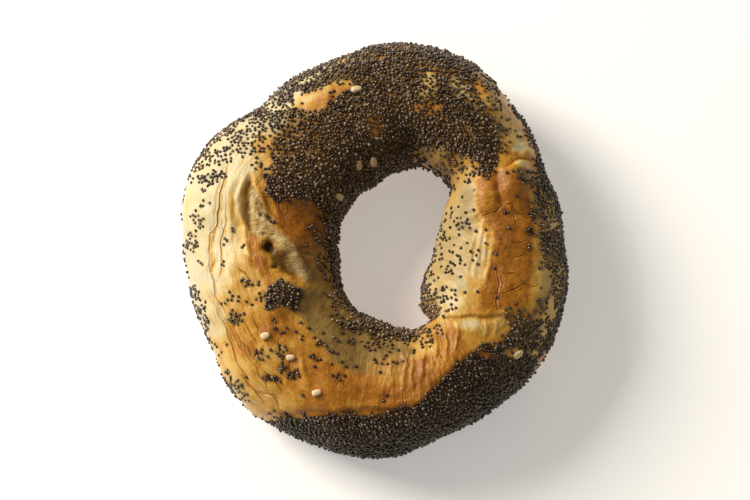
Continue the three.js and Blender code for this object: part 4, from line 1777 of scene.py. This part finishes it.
def seed_frames(normals: Array, spin: Array, tilt: Array, sizes: Array) -> Array:
    """Axes of seeds that lie on the crust.

    Args:
        normals: Direction the crust faces under each seed.
        spin: Turn of each seed about that direction.
        tilt: How far each seed leans, in radians.
        sizes: Length, width and height of each seed.

    Returns:
        For each seed a 3 by 3 matrix of scaled axes.
    """
    helper = np.where(np.abs(normals[:, 2:]) < 0.9, (0.0, 0.0, 1.0), (0.0, 1.0, 0.0))
    first = np.cross(helper, normals)
    first /= np.linalg.norm(first, axis=1, keepdims=True)
    second = np.cross(normals, first)
    along = first * np.cos(spin)[:, None] + second * np.sin(spin)[:, None]
    side = np.cross(normals, along)
    leaned = along * np.cos(tilt)[:, None] + normals * np.sin(tilt)[:, None]
    up = np.cross(leaned, side)
    return np.stack([leaned, side, up], axis=-1) * sizes[:, None, :]


@dataclass
class PoppySeeds:
    """The poppy seeds: a bed of them in the dense areas and strays over the rest."""

    dough: Dough
    length: float = 1.04
    width: float = 0.86
    height: float = 0.78
    variety: float = 0.08  # spread of each measure, as a share of it
    limits: tuple[float, float] = (0.8, 1.18)  # and the least and greatest share of it
    bend: float = 0.16  # how far the kidney bends, as a share of its half length
    lean: float = 0.22  # radians
    bed_gap: float = 0.76
    top_gap: float = 1.2
    top_cover: float = 0.85  # cover above which seeds lie on the bed
    top_rise: tuple[float, float] = (0.28, 0.5)
    sparse: float = 0.5  # cover below which seeds gather in clumps
    clump_size: float = 3.2
    thinning: tuple[float, float] = (0.3, 1.6)  # share of it left between clumps, and what a clump adds
    stray_paleness: float = 0.35  # of a stray seed, as a share of one in a full cover
    clear: float = 1.4  # least height over the table
    tries: int = 170000
    seed: int = 23

    def seed_shape(self) -> tuple[Array, Array]:
        """Shapes one kidney-shaped seed.

        Returns:
            Corners of a seed of unit size, longest along its first axis, and its triangles.
        """
        corners, triangles = ball(segments=6, rings=4)
        corners[:, 1] += self.bend * (corners[:, 0] ** 2 - 0.4)
        return corners * 0.5, triangles

    def scatter(
        self, cover_floor: float, gap: float, tries: int, rng: np.random.Generator
    ) -> tuple[Array, Array, Array]:
        """Throws seeds at the crust, thickest where they cover most.

        Args:
            cover_floor: Cover below which nothing is thrown.
            gap: Least distance between two seeds, in millimetres.
            tries: Number of throws.
            rng: Source of chance.

        Returns:
            Angles round the ring and over it, in radians, and the cover at each seed that stays.
        """
        form, step = self.dough.form, 1e-3
        around = rng.uniform(0, 2 * np.pi, tries)
        over = rng.uniform(0, 2 * np.pi, tries)
        places = form.places(around, over)
        along = form.plain(around + step, over) - places.points
        across = form.plain(around, over + step) - places.points
        area = np.linalg.norm(np.cross(along, across), axis=1)
        # thinned so that the throws fall evenly over the skin
        even = rng.uniform(0, 1, tries) < area / np.quantile(area, 0.95)
        stay = np.flatnonzero(even)[self.spaced(places.points[even], gap)]
        cover = SEED_COVER.at(places, form.noise)[stay]
        clumps = smooth_step(form.noise.at(places.skin()[stay], self.clump_size), -0.1, 0.3)
        between, added = self.thinning
        share = cover * np.where(cover < self.sparse, between + added * clumps, 1.0)
        kept = (rng.uniform(0, 1, len(stay)) < share) & (cover > cover_floor)
        return around[stay][kept], over[stay][kept], cover[kept]

    @staticmethod
    def spaced(points: Array, gap: float) -> list[int]:
        """Drops the throws that crowd others.

        Args:
            points: Where each seed falls, in the order thrown.
            gap: Least distance between two seeds.

        Returns:
            Numbers of the seeds that fall no nearer than the gap to one kept before them.
        """
        kept: list[int] = []
        cells: dict[tuple[int, int, int], list[int]] = {}
        keys = np.floor(points / gap).astype(int).tolist()
        rows = points.tolist()
        limit = gap * gap
        for index, (a, b, c) in enumerate(keys):
            x, y, z = rows[index]
            crowded = any(
                (rows[other][0] - x) ** 2 + (rows[other][1] - y) ** 2 + (rows[other][2] - z) ** 2 < limit
                for i in (a - 1, a, a + 1)
                for j in (b - 1, b, b + 1)
                for k in (c - 1, c, c + 1)
                for other in cells.get((i, j, k), ())
            )
            if not crowded:
                kept.append(index)
                cells.setdefault((a, b, c), []).append(index)
        return kept

    def build(self) -> dict[SeedTone, bpy.types.Object]:
        """Builds the seeds.

        Returns:
            One joined piece for each tone.
        """
        rng = np.random.default_rng(self.seed)
        form = self.dough.form
        bed = self.scatter(0.0, self.bed_gap, self.tries, rng)
        top = self.scatter(self.top_cover, self.top_gap, self.tries // 3, rng)
        around, over, cover = (np.concatenate(pair) for pair in zip(bed, top))
        raised = np.concatenate([np.zeros(len(bed[0])), np.ones(len(top[0]))])
        points, normals = self.dough.lay(around, over)
        clear = points[:, 2] > self.clear
        points, normals, raised, cover = points[clear], normals[clear], raised[clear], cover[clear]
        count = len(points)
        usual = np.array([self.length, self.width, self.height])
        sizes = usual * rng.normal(1, self.variety, (count, 3)).clip(*self.limits)
        seat = sizes[:, 2] * (0.2 + 0.1 * rng.uniform(-1, 1, count))
        lift = seat + raised * rng.uniform(*self.top_rise, count)
        self.places = points + normals * lift[:, None]
        tilt = rng.normal(0, self.lean, count) * (1 + raised)
        frames = seed_frames(normals, rng.uniform(0, 2 * np.pi, count), tilt, sizes)
        stray = self.stray_paleness
        tones = rng.uniform(0, 1, count) ** 1.3 * (stray + (1 - stray) * smooth_step(cover, 0.3, 0.9))
        # painted light and shade on the seeds, region by region
        tones *= SEED_LIGHT_AND_SHADE.at(form.places(around[clear], over[clear]), form.noise)
        kinds = rng.integers(0, len(SeedTone), count)
        shape, faces = self.seed_shape()
        pieces = {}
        for number, tone in enumerate(SeedTone):
            own = kinds == number
            name = f"poppy_seeds_{tone.name.lower()}"
            pieces[tone] = joined_seeds(name, shape, faces, frames[own], self.places[own], tones[own])
        return pieces

    def dress(self, pieces: dict[SeedTone, bpy.types.Object], mottle: OvenMottle) -> None:
        """Gives each tone its finish and its place in the frame.

        Args:
            pieces: The joined seeds of each tone.
            mottle: The shared oven mottle.
        """
        for tone, piece in pieces.items():
            piece.data.materials.append(PoppyFinish(tone).material(mottle))
            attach(piece, BODY)


@dataclass(frozen=True)
class Sesame:
    """One sesame seed: degrees round, degrees over, turn of its long axis, length, and how far it is
    darkened, partly by toasting and partly as painted shade on the walls.
    """

    around: float
    over: float
    turn: float
    length: float = 2.8
    toast_and_shade: float = 0.1


@dataclass
class SesameSeeds:
    """The few sesame seeds that got among the poppy."""

    dough: Dough
    # the last number darkens a seed: toasting, and painted shade on the walls
    grains: tuple[Sesame, ...] = (
        Sesame(104, 79, 15, 3.5, 0.25),
        Sesame(143, 146, 100, 3.0, 0.6),
        Sesame(115, 139, 70, 3.2, 0.75),
        Sesame(104, 141, 80, 3.2, 0.8),
        Sesame(220, 73, 20),
        Sesame(231.5, 77, 10),
        Sesame(245, 64, 15),
        Sesame(316, 41, -22, 3.2, 0.45),
        Sesame(66, 28, 0, 2.8, 0.5),
        Sesame(20, -34, 60),
        Sesame(160, -36, 10),
    )
    slimness: float = 0.64  # width for each length
    flatness: float = 0.4  # height for each length
    point: float = 0.35  # how much slimmer the pointed end is
    variety: float = 0.05
    lean: float = 0.08  # radians
    seat: float = 0.34  # height of a seed's middle over the crust, as a share of its own height
    seed: int = 5

    def seed_shape(self) -> tuple[Array, Array]:
        """Shapes one seed.

        Returns:
            Corners of a drop of unit size, its point along its first axis, and its triangles.
        """
        corners, triangles = ball(segments=14, rings=10)
        corners = np.sign(corners) * np.abs(corners) ** (0.5, 0.7, 0.9) * 0.5
        corners[:, 1] *= 1 - self.point * np.clip(corners[:, 0] * 2, 0, 1)
        corners[:, 2] *= 1 - 0.5 * corners[:, 0]
        return corners, triangles

    def build(self) -> bpy.types.Object:
        """Builds the seeds.

        Returns:
            All of them as one joined piece.
        """
        rng = np.random.default_rng(self.seed)
        around, over, turns = (
            np.radians([getattr(grain, name) for grain in self.grains])
            for name in ("around", "over", "turn")
        )
        points, normals = self.dough.lay(around, over)
        count = len(points)
        length = np.array([grain.length for grain in self.grains])[:, None]
        sizes = length * (1.0, self.slimness, self.flatness) * rng.normal(1, self.variety, (count, 3))
        frames = seed_frames(normals, turns, rng.normal(0, self.lean, count), sizes)
        places = points + normals * (self.seat * sizes[:, 2:])
        tones = np.clip([grain.toast_and_shade + rng.uniform(-0.08, 0.08) for grain in self.grains], 0, 1)
        return joined_seeds("sesame_seeds", *self.seed_shape(), frames, places, tones)

    def dress(self, seeds: bpy.types.Object, mottle: OvenMottle) -> None:
        """Gives the seeds their finish and their place in the frame.

        Args:
            seeds: The joined seeds.
            mottle: The shared oven mottle.
        """
        seeds.data.materials.append(SesameFinish().material(mottle))
        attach(seeds, BODY)


# ---------------------------------------------------------------- the studio


@dataclass(frozen=True)
class Lamp:
    """A soft square lamp that shines at the bagel from a direction."""

    name: str
    azimuth: float  # degrees anticlockwise from +X
    elevation: float
    distance: float
    size: float
    power: float  # watts
    colour: str

    def build(self, target: Vector) -> bpy.types.Object:
        """Hangs the lamp.

        Args:
            target: Point that it shines at, in metres.

        Returns:
            The lamp object.
        """
        data = bpy.data.lights.new(self.name, "AREA")
        data.shape = "SQUARE"
        data.size = self.size
        data.energy = self.power
        data.color = linear_colour(self.colour)[:3]
        lamp = put_in_scene(self.name, data)
        turn, rise = math.radians(self.azimuth), math.radians(self.elevation)
        away = Vector((math.cos(turn) * math.cos(rise), math.sin(turn) * math.cos(rise), math.sin(rise)))
        lamp.location = target + away * self.distance
        lamp.rotation_mode = "QUATERNION"
        lamp.rotation_quaternion = away.to_track_quat("Z", "Y")
        return lamp


@dataclass(frozen=True)
class Studio:
    """Camera, lamps, the air's light and the table."""

    elevation: float = 78.0
    distance: float = 0.75
    lens: float = 126.0  # millimetres, as the sensor
    sensor: float = 36.0
    target: tuple[float, float, float] = (0.0006, -0.0004, 0.014)
    lamps: tuple[Lamp, ...] = (Lamp("window", 150, 33, 1.4, 0.65, 26.0, "fff6ea"),)
    sky: float = 0.26
    sky_colour: tuple[float, float, float, float] = (1.0, 0.93, 0.79, 1.0)
    table_width: float = 6.0
    table_height: float = -0.0001  # a hair under the bagel's flat, so that the two don't flicker

    def build(self) -> list[bpy.types.Object]:
        """Builds the studio.

        Returns:
            The camera, the lamps and the table.
        """
        target = Vector(self.target)
        made = [self.camera(target), *(lamp.build(target) for lamp in self.lamps), self.table()]
        world = bpy.data.worlds.new("studio_air")
        world.use_nodes = True
        background = next(n for n in world.node_tree.nodes if n.type == "BACKGROUND")
        background.inputs["Color"].default_value = self.sky_colour
        background.inputs["Strength"].default_value = self.sky
        bpy.context.scene.world = world
        bpy.context.scene.view_settings.view_transform = "Standard"
        return made

    def camera(self, target: Vector) -> bpy.types.Object:
        """Places the camera, which looks down on the crown.

        Args:
            target: Point that it looks at, in metres.

        Returns:
            The camera.
        """
        data = bpy.data.cameras.new("camera")
        data.lens = self.lens
        data.sensor_width = self.sensor
        data.clip_start, data.clip_end = 0.01, 20.0
        camera = put_in_scene("camera", data)
        rise = math.radians(self.elevation)
        away = Vector((0, -math.cos(rise), math.sin(rise)))
        camera.location = target + away * self.distance
        camera.rotation_euler = (math.radians(90 - self.elevation), 0, 0)
        bpy.context.scene.camera = camera
        return camera

    def table(self) -> bpy.types.Object:
        """Lays the plain table under the bagel.

        Returns:
            The table, which is left out of the part.
        """
        half = self.table_width / 2
        plan = ((-half, -half), (half, -half), (half, half), (-half, half))
        mesh = bpy.data.meshes.new("table")
        mesh.from_pydata([(*corner, self.table_height) for corner in plan], [], [(0, 1, 2, 3)])
        mesh.materials.append(TableFinish().material())
        table = put_in_scene("table", mesh)
        return table


def corners(box: tuple[Vector, Vector]) -> list[list[float]]:
    """A box's two corners as plain lists."""
    return [[float(value) for value in corner] for corner in box]


def report(step: str, *pieces: bpy.types.Object) -> None:
    """Logs the size of each piece that a step made.

    Args:
        step: Name of the step.
        *pieces: What it made.
    """
    for piece in pieces:
        faces = len(piece.data.polygons) if piece.type == "MESH" else 0
        log.info("%s: %s, %d faces", step, piece.name, faces)


def main() -> None:
    """Builds the bagel and its studio."""
    logging.basicConfig(level=logging.INFO, format="%(name)s %(message)s")
    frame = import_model()
    log.info("frame: %s", ", ".join(sorted(frame["nodes"])))
    mottle = OvenMottle()
    dough = Dough(RingForm())
    skin = dough.build()
    poppy = PoppySeeds(dough)
    tones = poppy.build()
    dough.scorch(skin, poppy.places)
    dough.dress(skin, mottle)
    report("dough", skin)
    poppy.dress(tones, mottle)
    report("poppy", *tones.values())
    sesame = SesameSeeds(dough)
    grains = sesame.build()
    sesame.dress(grains, mottle)
    report("sesame", grains)
    report("studio", *Studio().build())


if __name__ == "__main__":
    main()
